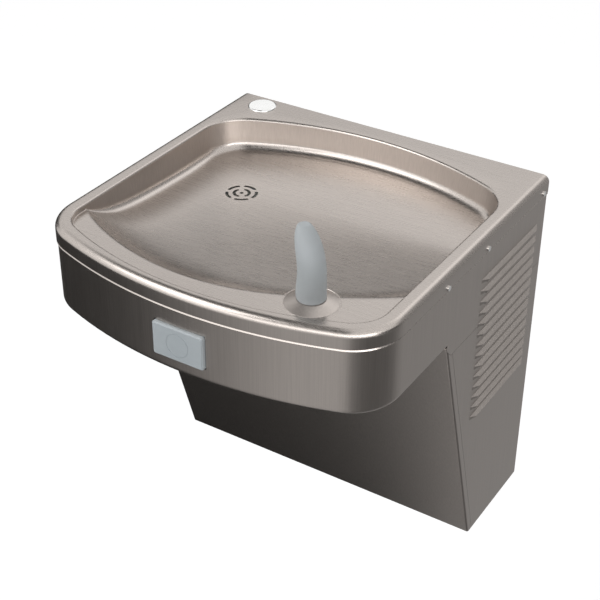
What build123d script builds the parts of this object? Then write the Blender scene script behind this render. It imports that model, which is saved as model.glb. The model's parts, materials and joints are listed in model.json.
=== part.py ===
from build123d import *
import math
import os

# Wall-hung drinking fountain with a drawn stainless basin, an elastomer bubbler, a front push
# pad and a cooling unit in the louvred cabinet below. X is to the right as seen from the front,
# +Y goes into the wall and the wall is the plane Y = 0. The origin is the centre of the four
# wall bolts. All lengths are millimetres, and a drop is a distance below the deck's top face.

# Overall sizes
width = 457.0
depth = 463.5
height = 474.5
deck_top = 190.0
sheet = 1.2
seam_gap = 0.4
hole_slack = 0.1

# Cover: deck, rolled edge and skirt
side_depth = 415.0
corner_radius = 65.0
bullnose_radius = 9.0
skirt_depth = 25.0

# Opening of the bowl in the deck
rim_width = 21.0
opening_front_y = -448.5
opening_front_radius = 460.0
opening_back_y = -30.0
opening_back_radius = 425.0
opening_front_corner = 42.0
opening_back_corner = 60.0
lip_radius = 3.5

# Bowl below the deck
ledge_drop = 8.0
wall_inset = 6.5
space_height = 60.0
wall_height = 60.0
valley_weight = 12
ramp_radius = 337.0
ramp_centre = (-22.5, -82.0)
ramp_slope = 26.0
valley_y = -168.0
valley_drop_left = 50.5
valley_drop_right = 36.0
front_rise_left = 0.05
front_rise_right = 0.17
back_rise_left = 0.06
back_rise_right = 0.02
wall_fillet = 12.0

# Boss and bubbler
boss_centre = (125.0, -390.0)
boss_height = 6.0
boss_sheet = 1.4
boss_base_radius = 31.0
boss_top_radius = 17.5
boss_flank = 24.0
shank_radius = 11.0
shank_clearance = 0.5
shank_length = 42.0
shank_bore = 3.0
socket_depth = 12.0
nozzle_radius = 5.0
nozzle_height = 34.0
nozzle_bore = 1.6
nozzle_tip_fillet = 2.0
guard_direction = (-0.88, 0.475)
guard_mouth_shift = 9.0
guard_mouth_sections = ((28, 0, 11.5), (46, 2.0, 11.8), (62, 8.0, 10.5), (74, 13.5, 7.0))
guard_sections = (
    (0, 0, 16.4),
    (26, 0, 16.0),
    (44, 1.5, 15.6),
    (60, 7, 14.8),
    (73, 13, 11.8),
    (82, 17.5, 6.5),
)
guard_tip_share = 0.55
guard_foot_fillet = 1.0
gasket_thickness = 2.0
gasket_inset = 0.5
locknut_flats = 34.0
locknut_thickness = 7.0

# Drain
drain_centre = (-111.0, -178.0)
drain_ring_radius = 18.8
drain_inner_radius = 9.7
drain_slot_width = 4.0
drain_ring_slots = 5
drain_gap_angle = 15.0
drain_first_gap = 122.0
drain_inner_turn = 35.0
drain_inner_sweep = 118.0
drain_screw_radius = 2.4
drain_gasket_sheet = 2.0
drain_cup_radius = 27.0
drain_cup_wall = 2.5
drain_cup_drop = 78.0
drain_bar_drop = 60.0
drain_bar_depth = 5.0
drain_bar_width = 9.0
drain_screw_recess = 0.5
drain_tail_radius = 16.0
drain_tail_drop = 112.0
drain_tube_drop = 166.0
drain_tube_end_y = -8.0
drain_bend = 30.0
drain_nut_flats = 40.0
drain_nut_height = 14.0
screw_head_radius = 4.0
screw_head_height = 1.8
screw_head_round = 1.0
screw_slot = 1.0
screw_slot_depth = 1.0

# Hole plug in the deck
plug_centre = (-181.0, -24.5)
plug_radius = 19.2
plug_hole_radius = 17.5
plug_height = 2.0
plug_skirt = 8.0
plug_neck_slack = 0.3
plug_barb = 0.4
plug_barb_drop = 1.3
plug_tail_slack = 0.6
plug_bore_inset = 2.0

# Upper wrapper: apron and upper sides in one folded sheet
wrap_gap = 0.2
wrap_tuck = 13.0
apron_drop = 109.6
apron_bend = 9.0
apron_flange = 16.0
wrap_side_drop = 123.2
mitre_front_y = -258.5
mitre_back_y = -248.2
relief_width = 2.0
relief_rise = 3.0

# Louvres, the same on both sides
louvre_first_drop = 61.0
louvre_pitch = 15.55
louvre_count = 14
louvre_upper_count = 5
louvre_back_y = -22.3
louvre_front_y = -178.0
louvre_open_end = 8.7
louvre_end_sheet = 2.0
louvre_taper = 13.0
louvre_cut = 7.6
louvre_reach = 4.0
louvre_rise = 3.0

# Lower cabinet
pan_rear_y = -252.0
pan_gap = 0.3
pan_flange = 12.0
front_top_y = -259.2
front_bottom_y = -148.5
front_return = 10.6
front_bend = 2.4
bottom_flange = 18.0
front_flange = 16.0
lip_back_y = -182.0
lip_front_y = -240.0
lip_overlap = 10.0
frame_sheet = 1.5
frame_flange = 20.0
shelf_front_gap = 0.3

# Wall fixings
wall_bolt_x = 360.0
wall_bolt_z = 240.0
wall_bolt_hole = 4.5
hanger_half = 115.0
hanger_sheet = 2.5
hanger_drop = 62.0
hanger_height = 54.0
hanger_hook = 14.0
hanger_bolt_x = 160.0
hanger_bolt_hole = 4.0
hanger_bolt_drop = 95.0
hanger_gap = 1.5
window_clearance = 5.0
frame_hole_gap = 8.0

# Screws of the cabinet
screw_ys = (-14.0, -170.0, -271.0)
screw_rise = 6.6
cover_screw_radius = 1.6
cover_screw_head = 3.4
screw_head_share = 0.5
cover_screw_length = 9.0
screw_slack = 0.3
thread_slack = 0.05
panel_screw_inset = 7.9
panel_screw_ys = (-30.0, -120.0)
front_screw_spot = (90.0, -142.0)

# Push pad and regulator
pad_width = 68.0
pad_height = 43.0
pad_drop = 67.3
pad_front_y = -466.5
pad_clearance = 0.5
pad_corner = 3.0
pad_edge = 1.6
ring_radius = 15.0
ring_groove = 0.6
ring_depth = 0.3
pad_flange = 4.0
pad_rod_radius = 6.0
bezel_lip_y = -457.0
bezel_back_y = -449.4
bezel_plate = 2.0
bezel_border = 6.0
bezel_pocket_gap = 0.5
pad_flange_front_y = -456.7
pad_flange_sheet = 2.0
pad_rod_end_y = -438.0
stem_front_y = -437.7
stem_back_y = -405.0
stem_button = 2.0
button_inset = 0.5
valve_front_y = -425.0
valve_back_y = -385.0
valve_radius = 16.0
stem_radius = 3.0
running_gap = 0.05
valve_bore_end_y = -399.0
port_radius = 6.0
port_length = 10.0
tube_radius = 4.0
tube_bore = 3.0
tube_rise = 14.0
bracket_half = 20.0
bracket_top_drop = 48.0
bracket_foot = 20.0
inlet_x = 60.0
inlet_drop = 140.0
inlet_front_y = -75.0
inlet_back_y = -20.0
inlet_radius = 11.0
inlet_tail_radius = 4.75
inlet_tail_y = -4.0
inlet_chamfer = 1.5
clip_sheet = 1.5
clip_width = 14.0
clip_foot = 20.0
inlet_turn_y = -215.0
water_level = 85.0
tube_tight_bend = 8.0
outlet_x = 60.0
tank_port = 18.0
supply_turn_y = -205.0

# Cooling unit
tank_gap = 20.9
tank_y = -80.0
tank_radius = 42.0
tank_fillet = 7.0
jacket_wall = 13.0
jacket_inset = 6.0
tank_drop = 212.0
tank_length = 165.0
tank_shelf_front_y = -136.0
compressor_centre = (40.0, -78.0)
compressor_radius = 56.0
compressor_drop = 300.0
compressor_length = 150.0
compressor_dome = 16.0
pedestal_share = 0.6
foot_spread = (96.0, 80.0)
foot_radius = 9.0
foot_bolt_radius = 3.0
foot_hole_slack = 0.2
foot_plate = 3.0
foot_plate_drop = 455.0
relay_size = (26.0, 40.0, 44.0)
relay_seat = 6.0
relay_drop = 360.0
relay_fillet = 4.0
fan_centre = (-90.0, 220.0)
fan_gap = 26.0
fan_blades = 5
fan_depth = 14.0
hub_radius = 13.0
hub_length = 14.0
fan_shaft_radius = 3.0
shaft_stand_out = 2.0
hub_slack = 0.02
motor_gaps = (78.0, 40.0)
motor_radius = 28.0
motor_fillet = 3.0
motor_bore_start = 10.0
arm_gap = 2.0
arm_width = 10.0
arm_sheet = 2.0
blade_sheet = 1.2
blade_sections = ((12.0, 38.0, 14.0), (30.0, 30.0, 24.0), (52.0, 22.0, 30.0))
shroud_depth = 14.0
shroud_ring = 55.0
shroud_sheet = 1.5
condenser_gap = 19.9
condenser_depth = 28.0
condenser_drop = 150.0
condenser_height = 140.0
condenser_y = (-150.0, -30.0)
condenser_fins = 10
condenser_runs = 5
condenser_tube = 4.0
fin_sheet = 1.0
drier_gap = 60.0
drier_y = -50.0
drier_drop = 330.0
drier_length = 70.0
drier_radius = 10.0
drier_chamfer = 5.0
line_radius = 3.0
capillary_radius = 1.5
line_bend = 9.0
discharge_drop = 330.0
coil_front_y = -181.0
coil_back_y = -15.0
liquid_drop = 316.0
capillary_drop = 458.0
capillary_y = -140.0
capillary_x = -80.0
capillary_rise_drop = 340.0
suction_x = -55.0
suction_top_drop = 255.0
thermostat_x = -40.0
thermostat_drop = 180.0
thermostat_size = (44.0, 28.5, 34.0)
knob_length = 12.0
knob_flat_share = 0.7
stem_root_gap = 0.3
box_gap = 75.9
box_drop = 400.0
box_size = (60.0, 33.5, 50.0)
box_fillet = 3.0
box_groove_inset = 2.0
box_groove = 1.0
gland_gap = 35.9
gland_drop = 440.0
gland_radius = 10.0
gland_flange = 14.0
gland_length = 8.0
gland_bore = 5.0


def at(drop):
    """Height of a point that lies the given drop below the deck."""
    return deck_top - drop


# Worked out
bow_sag = depth - side_depth
bow_radius = ((width / 2) ** 2 + bow_sag ** 2) / (2 * bow_sag)
bow_centre_y = bow_radius - depth
opening_half = width / 2 - rim_width
wrap_inset = sheet + wrap_gap
side_x = width / 2 - wrap_inset
inner_x = side_x - sheet
pan_drop = apron_drop - sheet
front_lean = (front_bottom_y - front_top_y) / (height - pan_drop)
boss_top = deck_top - ledge_drop + boss_height
boss_under = boss_top - boss_sheet
shelf_drop = height - sheet
guard_x = Vector(guard_direction[0], guard_direction[1], 0).normalized()
screw_drop = skirt_depth - screw_rise
thread_hole = cover_screw_radius + thread_slack
tank_reach = tank_radius + jacket_wall
tank_centre = (tank_gap + tank_reach - inner_x, tank_y)
tank_top = (*tank_centre, tank_drop)
condenser_x = inner_x - condenser_gap - condenser_depth
fan_x = condenser_x - fan_gap
motor_x = (condenser_x - motor_gaps[0], condenser_x - motor_gaps[1])
shroud_x = (condenser_x - shroud_depth, condenser_x)
drier_spot = (condenser_x - drier_gap, drier_y)
box_x = inner_x - box_gap
box_groove_drop = box_drop - box_size[2] / 2 + box_groove_inset
gland_spot = (inner_x - gland_gap, gland_drop)
panel_screw_x = inner_x - panel_screw_inset
side_screw_spots = [(side * panel_screw_x, y) for side in (-1, 1) for y in panel_screw_ys]
front_screw_spots = [(side * front_screw_spot[0], front_screw_spot[1]) for side in (-1, 1)]
tube_level = tank_drop - tube_rise
relief_front_y = mitre_front_y - relief_width / 2
relief_back_y = mitre_front_y + relief_width / 2
louvre_slot_y = louvre_front_y + louvre_taper + louvre_end_sheet
louvre_lip = sheet / math.sqrt(2)
seam_louvre_drop = louvre_first_drop + (louvre_upper_count - 1) * louvre_pitch
hood_end_drop = seam_louvre_drop + louvre_reach - louvre_rise + louvre_lip


def front_y(drop):
    """Y of the lower front's slanted outer face at a drop."""
    return front_top_y + front_lean * (drop - pan_drop)


def block(x_range, y_range, drop_range, mode=Mode.ADD):
    """Rectangular block between two x values, two y values and two drops."""
    middle = (sum(x_range) / 2, sum(y_range) / 2, at(sum(drop_range) / 2))
    size = [abs(ends[1] - ends[0]) for ends in (x_range, y_range, drop_range)]
    with Locations(middle):
        Box(*size, mode=mode)


def bar(start, end, radius, mode=Mode.ADD):
    """Round bar between two points, each an x, a y and a drop."""
    first = Vector(start[0], start[1], at(start[2]))
    line = Vector(end[0], end[1], at(end[2])) - first
    with Locations(Plane(origin=first, z_dir=line)):
        Cylinder(radius, line.length, align=(Align.CENTER, Align.CENTER, Align.MIN), mode=mode)


def pipe(points, radius, bore, bend):
    """Tube along straight runs joined by bends; each point is an x, a y and a drop."""
    with BuildPart() as tube:
        with BuildLine() as path:
            FilletPolyline([(x, y, at(drop)) for x, y, drop in points], radius=bend)
        with BuildSketch(Plane(origin=path.line @ 0, z_dir=path.line % 0)):
            Circle(radius)
            if bore > 0:
                Circle(bore, mode=Mode.SUBTRACT)
        sweep()
    return tube.part


def cover_outline(inset, back_y):
    """Plan of the cover: straight back and sides, rounded front corners and a bowed front."""
    half = width / 2 - inset
    radius = bow_radius - inset
    corner_y = bow_centre_y - math.sqrt(radius ** 2 - half ** 2)
    with BuildSketch() as plan:
        with BuildLine():
            Polyline((half, corner_y), (half, back_y), (-half, back_y), (-half, corner_y))
            ThreePointArc((-half, corner_y), (0, bow_centre_y - radius), (half, corner_y))
        make_face()
        fillet(plan.vertices().sort_by(Axis.Y)[:2], corner_radius - inset)
    return plan.sketch


def arc_y(x, apex_y, radius):
    """Y of an arc whose apex is at (0, apex_y); a positive radius curves away from the wall."""
    return apex_y + radius - math.copysign(math.sqrt(radius ** 2 - x ** 2), radius)


def opening_outline(grow):
    """Plan of the bowl's opening, grown outwards by the given amount."""
    half = opening_half + grow
    front = opening_front_y - grow
    back = opening_back_y + grow
    front_corner = arc_y(half, front, opening_front_radius + grow)
    back_corner = arc_y(half, back, -(opening_back_radius + grow))
    with BuildSketch() as plan:
        with BuildLine():
            Line((half, front_corner), (half, back_corner))
            ThreePointArc((half, back_corner), (0, back), (-half, back_corner))
            Line((-half, back_corner), (-half, front_corner))
            ThreePointArc((-half, front_corner), (0, front), (half, front_corner))
        make_face()
        fillet(plan.vertices().sort_by(Axis.Y)[:2], opening_front_corner + grow)
        fillet(plan.vertices().sort_by(Axis.Y)[-2:], opening_back_corner + grow)
    return plan.sketch


def cover_block(inset, back_y, bottom, top, radius, rounded_top):
    """Solid of the cover's plan with its front and side edges rounded at the top or bottom."""
    with BuildPart() as block:
        with BuildSketch(Plane.XY.offset(bottom)):
            add(cover_outline(inset, back_y))
        extrude(amount=top - bottom)
        rim = block.edges().group_by(Axis.Z)[-1 if rounded_top else 0]
        fillet(rim.filter_by(lambda edge: edge.center().Y < back_y - 1), radius)
    return block.part


def floor_profile(x, drop, front_rise, back_rise, grow):
    """Section of the space above the bowl's floor, on the plane at x, with a soft valley."""
    valley_z = at(drop) - grow
    front = (-depth, valley_z + front_rise * (depth + valley_y))
    back = (0, valley_z - back_rise * valley_y)
    top = deck_top + space_height
    with BuildSketch(Plane(origin=(x, 0, 0), x_dir=(0, 1, 0), z_dir=(1, 0, 0))) as profile:
        with BuildLine():
            Bezier(front, (valley_y, valley_z), back, weights=[1, valley_weight, 1])
            Polyline(back, (0, top), (-depth, top), front)
        make_face()
    return profile.sketch


def floor_space(grow):
    """Everything above the bowl's floor, which twists from the left side to the right."""
    left = floor_profile(-width / 2, valley_drop_left, front_rise_left, back_rise_left, grow)
    right = floor_profile(width / 2, valley_drop_right, front_rise_right, back_rise_right, grow)
    with BuildPart() as space:
        loft([left.face(), right.face()], ruled=True)
    return space.part


def bowl_space(grow):
    """Space inside the bowl, grown by the given amount for the underside of the sheet."""
    ledge_z = at(ledge_drop) - grow
    run = wall_height / math.tan(math.radians(ramp_slope))
    with BuildPart() as space:
        with BuildSketch(Plane.XY.offset(ledge_z - wall_height)):
            add(opening_outline(grow - wall_inset))
        with BuildSketch(Plane.XY.offset(ledge_z)):
            add(opening_outline(grow))
        loft(ruled=True)
        add(floor_space(grow), mode=Mode.INTERSECT)
        creases = space.edges().filter_by(
            lambda edge: edge.bounding_box().max.Z < ledge_z - 1
            or edge.bounding_box().size.Z > 1
            and edge.bounding_box().size.Y > 1
        )
        fillet(creases, wall_fillet + grow)
        with Locations((ramp_centre[0], ramp_centre[1], ledge_z)):
            Cone(
                ramp_radius + grow - run,
                ramp_radius + grow,
                wall_height,
                align=(Align.CENTER, Align.CENTER, Align.MAX),
                mode=Mode.INTERSECT,
            )
        with BuildSketch(Plane.XY.offset(ledge_z)):
            add(opening_outline(grow))
        extrude(amount=deck_top - ledge_z)
    return space.part


def boss_form(lower):
    """Raised boss that carries the bubbler; lowered for the underside of the sheet."""
    top = boss_top - lower
    base = at(ledge_drop) - lower
    foot_radius = boss_base_radius + boss_flank
    with BuildPart() as boss:
        with BuildSketch(Plane.XZ) as section:
            with BuildLine():
                Line((0, top), (boss_top_radius, top))
                Line((boss_top_radius, top), (boss_base_radius, base))
                Line((boss_base_radius, base), (foot_radius, base - boss_flank))
                Polyline((foot_radius, base - boss_flank), (0, base - boss_flank), (0, top))
            make_face()
        revolve(axis=Axis.Z)
    return boss.part.moved(Location((boss_centre[0], boss_centre[1], 0)))


def drain_slots():
    """Arc slots of the drain, two broken rings about the screw."""
    pitch = 360 / drain_ring_slots
    cap = math.degrees(drain_slot_width / 2 / drain_ring_radius)
    with BuildSketch(Plane.XY.offset(at(0))) as slots:
        for k in range(drain_ring_slots):
            start = drain_first_gap + k * pitch + drain_gap_angle / 2 + cap
            sweep_angle = pitch - drain_gap_angle - 2 * cap
            with Locations(drain_centre):
                SlotArc(CenterArc((0, 0), drain_ring_radius, start, sweep_angle), drain_slot_width)
        for k in range(2):
            start = drain_first_gap + drain_inner_turn + 180 * k
            with Locations(drain_centre):
                SlotArc(CenterArc((0, 0), drain_inner_radius, start, drain_inner_sweep), drain_slot_width)
        with Locations(drain_centre):
            Circle(drain_screw_radius + hole_slack)
    return slots.sketch


os.makedirs("parts", exist_ok=True)


def write(part, name):
    """Label a finished piece and write it."""
    part.label = name
    export_step(part, "parts/" + name + ".step")
    return part


# Basin: deck, skirt and bowl drawn from one sheet
drain_axis = Edge.make_line((*drain_centre, at(2 * valley_drop_left)), (*drain_centre, deck_top))
floor_drop = deck_top - floor_space(0).intersect(drain_axis).edges()[0].bounding_box().min.Z


def opening_edges(part, drop):
    """Edges of a part that run round the bowl's opening at a drop."""
    return part.edges().filter_by(
        lambda edge: abs(edge.center().Z - at(drop)) < 0.01
        and abs(edge.center().X) < opening_half + 2 * sheet
        and opening_front_y - 2 * sheet < edge.center().Y < opening_back_y + 2 * sheet
    )


with BuildPart() as basin:
    add(cover_block(0, 0, at(skirt_depth), deck_top, bullnose_radius, True))
    add(
        cover_block(sheet, -sheet, at(skirt_depth), deck_top - sheet, bullnose_radius - sheet, True),
        mode=Mode.SUBTRACT,
    )
    add(bowl_space(sheet) - boss_form(boss_sheet))
    fillet(opening_edges(basin, sheet), lip_radius - sheet)
    add(bowl_space(0) - boss_form(0), mode=Mode.SUBTRACT)
    fillet(opening_edges(basin, 0), lip_radius)
    with Locations((*boss_centre, boss_top)):
        Hole(shank_radius + shank_clearance, depth=2 * boss_height)
    with Locations((*plug_centre, deck_top)):
        Hole(plug_hole_radius, depth=2 * sheet)
    add(drain_slots())
    extrude(amount=-2 * floor_drop, mode=Mode.SUBTRACT)
    for y in screw_ys:
        for side in (-1, 1):
            bar(
                (side * width, y, screw_drop),
                (side * inner_x, y, screw_drop),
                cover_screw_radius + screw_slack,
                Mode.SUBTRACT,
            )
write(basin.part, "basin")

# Plug in the spare faucet hole of the deck
with BuildPart() as hole_plug:
    with BuildSketch(Plane.XZ.offset(0)) as plug_section:
        with BuildLine():
            Line((0, deck_top + plug_height), (plug_radius - plug_height, deck_top + plug_height))
            RadiusArc(
                (plug_radius - plug_height, deck_top + plug_height), (plug_radius, deck_top), plug_height
            )
            Polyline(
                (plug_radius, deck_top),
                (plug_hole_radius - plug_neck_slack, deck_top),
                (plug_hole_radius - plug_neck_slack, at(sheet + plug_neck_slack)),
                (plug_hole_radius + plug_barb, at(sheet + plug_barb_drop)),
                (plug_hole_radius - plug_tail_slack, at(plug_skirt)),
                (plug_hole_radius - plug_bore_inset, at(plug_skirt)),
                (plug_hole_radius - plug_bore_inset, deck_top + plug_height - sheet),
                (0, deck_top + plug_height - sheet),
                (0, deck_top + plug_height),
            )
        make_face()
    revolve(axis=Axis.Z)
write(hole_plug.part.moved(Location((*plug_centre, 0))), "hole_plug")


def guard_loft(sections, swell, shift):
    """Upright form through round sections that lean towards the bowl."""
    with BuildPart() as form:
        for rise, lean, radius in sections:
            centre = guard_x * (lean + shift) + Vector(*boss_centre, boss_top + rise)
            with BuildSketch(Plane(origin=centre)):
                Circle(radius + swell)
        loft()
    return form.part


# Bubbler: soft guard, nozzle and threaded shank
with BuildPart() as bubbler_guard:
    add(guard_loft(guard_sections, 0, 0))
    fillet(bubbler_guard.edges().group_by(Axis.Z)[-1], guard_sections[-1][2] * guard_tip_share)
    fillet(bubbler_guard.edges().group_by(Axis.Z)[0], guard_foot_fillet)
    add(guard_loft(guard_mouth_sections, 0, guard_mouth_shift), mode=Mode.SUBTRACT)
    with Locations((*boss_centre, boss_top)):
        Cylinder(
            shank_radius + running_gap,
            socket_depth,
            align=(Align.CENTER, Align.CENTER, Align.MIN),
            mode=Mode.SUBTRACT,
        )
        Cylinder(
            nozzle_radius + running_gap,
            nozzle_height,
            align=(Align.CENTER, Align.CENTER, Align.MIN),
            mode=Mode.SUBTRACT,
        )
write(bubbler_guard.part, "bubbler_guard")

with BuildPart() as bubbler_nozzle:
    with Locations((*boss_centre, boss_top + socket_depth)):
        Cylinder(
            nozzle_radius,
            nozzle_height - socket_depth,
            align=(Align.CENTER, Align.CENTER, Align.MIN),
        )
    fillet(bubbler_nozzle.edges().group_by(Axis.Z)[-1], nozzle_tip_fillet)
    with Locations((*boss_centre, boss_top + nozzle_height)):
        Hole(nozzle_bore, depth=nozzle_height)
write(bubbler_nozzle.part, "bubbler_nozzle")

with BuildPart() as bubbler_shank:
    with Locations((*boss_centre, boss_top + socket_depth)):
        Cylinder(
            shank_radius,
            shank_length,
            align=(Align.CENTER, Align.CENTER, Align.MAX),
        )
        Hole(shank_bore, depth=2 * shank_length)
write(bubbler_shank.part, "bubbler_shank")

with BuildPart() as bubbler_gasket:
    with Locations((*boss_centre, boss_under)):
        Cylinder(
            boss_top_radius - gasket_inset,
            gasket_thickness,
            align=(Align.CENTER, Align.CENTER, Align.MAX),
        )
        Hole(shank_radius + hole_slack, depth=2 * gasket_thickness)
write(bubbler_gasket.part, "bubbler_gasket")

with BuildPart() as bubbler_locknut:
    with BuildSketch(Plane.XY.offset(boss_under - gasket_thickness)):
        with Locations(boss_centre):
            RegularPolygon(locknut_flats / 2, 6, major_radius=False)
            Circle(shank_radius + running_gap, mode=Mode.SUBTRACT)
    extrude(amount=-locknut_thickness)
write(bubbler_locknut.part, "bubbler_locknut")

# Drain under the bowl
with BuildPart() as drain_gasket:
    add(floor_space(sheet + drain_gasket_sheet) - floor_space(sheet))
    with Locations((*drain_centre, at(floor_drop))):
        Cylinder(drain_cup_radius, 4 * drain_cup_radius, mode=Mode.INTERSECT)
        Cylinder(drain_cup_radius - 2 * drain_cup_wall, 4 * drain_cup_radius, mode=Mode.SUBTRACT)
write(drain_gasket.part, "drain_gasket")

with BuildPart() as drain_cup:
    with BuildSketch(Plane.XZ):
        with BuildLine():
            Polyline(
                (drain_cup_radius, at(floor_drop)),
                (drain_cup_radius, at(drain_cup_drop)),
                (drain_tail_radius, at(drain_cup_drop + drain_cup_radius - drain_tail_radius)),
                (drain_tail_radius, at(drain_tail_drop)),
                (drain_tail_radius - drain_cup_wall, at(drain_tail_drop)),
                (
                    drain_tail_radius - drain_cup_wall,
                    at(drain_cup_drop + drain_cup_radius - drain_tail_radius - drain_cup_wall / 2),
                ),
                (drain_cup_radius - drain_cup_wall, at(drain_cup_drop - drain_cup_wall / 2)),
                (drain_cup_radius - drain_cup_wall, at(floor_drop)),
                close=True,
            )
        make_face()
    revolve(axis=Axis.Z)
    block(
        (drain_cup_wall - drain_cup_radius, drain_cup_radius - drain_cup_wall),
        (-drain_bar_width / 2, drain_bar_width / 2),
        (drain_bar_drop, drain_bar_drop + drain_bar_depth),
    )
    with Locations((0, 0, at(drain_bar_drop))):
        Hole(drain_screw_radius + running_gap, depth=2 * drain_bar_depth)
drain_place = Location((*drain_centre, 0))
write(drain_cup.part.moved(drain_place) - floor_space(sheet + drain_gasket_sheet), "drain_cup")

with BuildPart() as drain_screw:
    with Locations((0, 0, at(floor_drop) - 1)):
        Cylinder(
            screw_head_radius,
            screw_head_height + 1,
            align=(Align.CENTER, Align.CENTER, Align.MIN),
        )
    fillet(drain_screw.edges().group_by(Axis.Z)[-1], screw_head_round)
    block(
        (-screw_slot / 2, screw_slot / 2),
        (-screw_head_radius, screw_head_radius),
        (floor_drop - screw_head_height, floor_drop - screw_head_height + screw_slot_depth),
        Mode.SUBTRACT,
    )
screw_head = drain_screw.part.moved(drain_place) & floor_space(0)
with BuildPart() as drain_screw:
    add(screw_head)
    bar(
        (*drain_centre, floor_drop - drain_screw_recess),
        (*drain_centre, drain_bar_drop + drain_bar_depth + 2),
        drain_screw_radius,
    )
write(drain_screw.part, "drain_screw")

with BuildPart() as drain_nut:
    with BuildSketch(Plane.XY.offset(at(drain_tail_drop - drain_nut_height / 2))):
        with Locations(drain_centre):
            RegularPolygon(drain_nut_flats / 2, 6, major_radius=False)
            Circle(drain_tail_radius + running_gap, mode=Mode.SUBTRACT)
    extrude(amount=-drain_nut_height)
write(drain_nut.part, "drain_nut")

drain_path = (
    (*drain_centre, drain_tail_drop),
    (*drain_centre, drain_tube_drop),
    (drain_centre[0], drain_tube_end_y, drain_tube_drop),
)
drain_tube = pipe(drain_path, drain_tail_radius, drain_tail_radius - drain_cup_wall, drain_bend)
write(drain_tube, "drain_tube")


def louvre_cuts(first, count):
    """Slots of a run of louvres, through both side walls."""
    for k in range(first, first + count):
        top = louvre_first_drop + k * louvre_pitch
        block((-width, width), (louvre_slot_y, louvre_back_y), (top, top + louvre_cut), Mode.SUBTRACT)


def louvre_hood():
    """Hood of one right louvre with the top of its slot at the deck's level.

    Its front end is closed and its back end is cut on a slant and open.
    """
    rise = louvre_rise
    reach = louvre_reach
    with BuildPart() as hood:
        with BuildSketch(Plane.XZ.offset(-louvre_back_y)):
            with BuildLine():
                Polyline(
                    (side_x - sheet / 2, at(-rise)),
                    (side_x, at(-rise)),
                    (side_x + reach, at(reach - rise)),
                    (side_x + reach - louvre_lip, at(reach - rise + louvre_lip)),
                    (side_x - sheet / 2, at(2 * louvre_lip - rise - sheet / 2)),
                    close=True,
                )
            make_face()
        extrude(amount=louvre_back_y - louvre_front_y)
        with BuildSketch(Plane.XZ.offset(-louvre_slot_y)):
            with BuildLine():
                Polyline(
                    (side_x - sheet / 2, at(-rise)),
                    (side_x, at(-rise)),
                    (side_x + reach, at(reach - rise)),
                    (side_x + reach - louvre_lip, at(reach - rise + louvre_lip)),
                    (side_x - sheet / 2, at(reach - rise + louvre_lip)),
                    close=True,
                )
            make_face()
        extrude(amount=louvre_slot_y - louvre_front_y)
        with BuildSketch(Plane.XY.offset(at(reach))):
            with BuildLine():
                Polyline(
                    (side_x - sheet, louvre_back_y),
                    (side_x, louvre_back_y),
                    (side_x + reach, louvre_back_y - louvre_open_end),
                    (side_x + reach, louvre_front_y + louvre_taper),
                    (side_x, louvre_front_y),
                    (side_x - sheet, louvre_front_y),
                    close=True,
                )
            make_face()
        extrude(amount=rise + 2 * reach, mode=Mode.INTERSECT)
    return hood.part


right_hood = louvre_hood()
left_hood = mirror(right_hood, Plane.YZ)


def louvre_hoods(hood, first, count):
    """A run of hoods in its place on one side."""
    for k in range(first, first + count):
        add(hood.moved(Location((0, 0, -louvre_first_drop - k * louvre_pitch))))


# Upper wrapper: apron and upper sides folded from one sheet
fold_top = apron_drop - apron_bend - 2
with BuildPart() as upper_wrapper:
    add(cover_block(wrap_inset, 0, at(apron_drop), at(wrap_tuck), apron_bend, False))
    add(
        cover_block(wrap_inset + sheet, 1, at(pan_drop), deck_top, apron_bend - sheet, False),
        mode=Mode.SUBTRACT,
    )
    with BuildSketch(Plane.XY.offset(at(apron_drop))):
        add(cover_outline(wrap_inset + apron_flange, 1))
    extrude(amount=2 * sheet, mode=Mode.SUBTRACT)
    block((-width, width), (relief_front_y, 2), (apron_drop - relief_rise, apron_drop + 1), Mode.SUBTRACT)
    block((-width, width), (relief_back_y, 2), (fold_top, apron_drop + 1), Mode.SUBTRACT)
    for plane_x in (-side_x, inner_x):
        with BuildSketch(Plane.YZ.offset(plane_x)):
            with BuildLine():
                Polyline(
                    (relief_back_y, at(fold_top)),
                    (relief_back_y, at(wrap_side_drop - mitre_back_y + relief_back_y)),
                    (mitre_back_y, at(wrap_side_drop)),
                    (0, at(wrap_side_drop)),
                    (0, at(fold_top)),
                    close=True,
                )
            make_face()
        extrude(amount=sheet)
    block((-width, width), (-sheet - wrap_gap, 2), (0, skirt_depth + wrap_gap), Mode.SUBTRACT)
    louvre_cuts(0, louvre_upper_count - 1)
    louvre_hoods(right_hood, 0, louvre_upper_count)
    louvre_hoods(left_hood, 0, louvre_upper_count)
    with BuildSketch(Plane.XZ.offset(-bezel_back_y)):
        with Locations((0, at(pad_drop))):
            Rectangle(pad_width + 2 * pad_clearance, pad_height + 2 * pad_clearance)
    extrude(amount=depth, mode=Mode.SUBTRACT)
    for y in screw_ys:
        bar((-width, y, screw_drop), (width, y, screw_drop), thread_hole, Mode.SUBTRACT)
write(upper_wrapper.part, "upper_wrapper")

# Tray that closes the underside of the apron
pan_inset = wrap_inset + apron_bend + pan_gap
with BuildPart() as underside_pan:
    with BuildSketch(Plane.XY.offset(at(pan_drop))):
        add(cover_outline(pan_inset, pan_rear_y))
    extrude(amount=sheet)
    block(
        (pan_inset - width / 2, width / 2 - pan_inset),
        (pan_rear_y - sheet, pan_rear_y),
        (pan_drop - pan_flange, pan_drop),
    )
write(underside_pan.part, "underside_pan")

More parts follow.
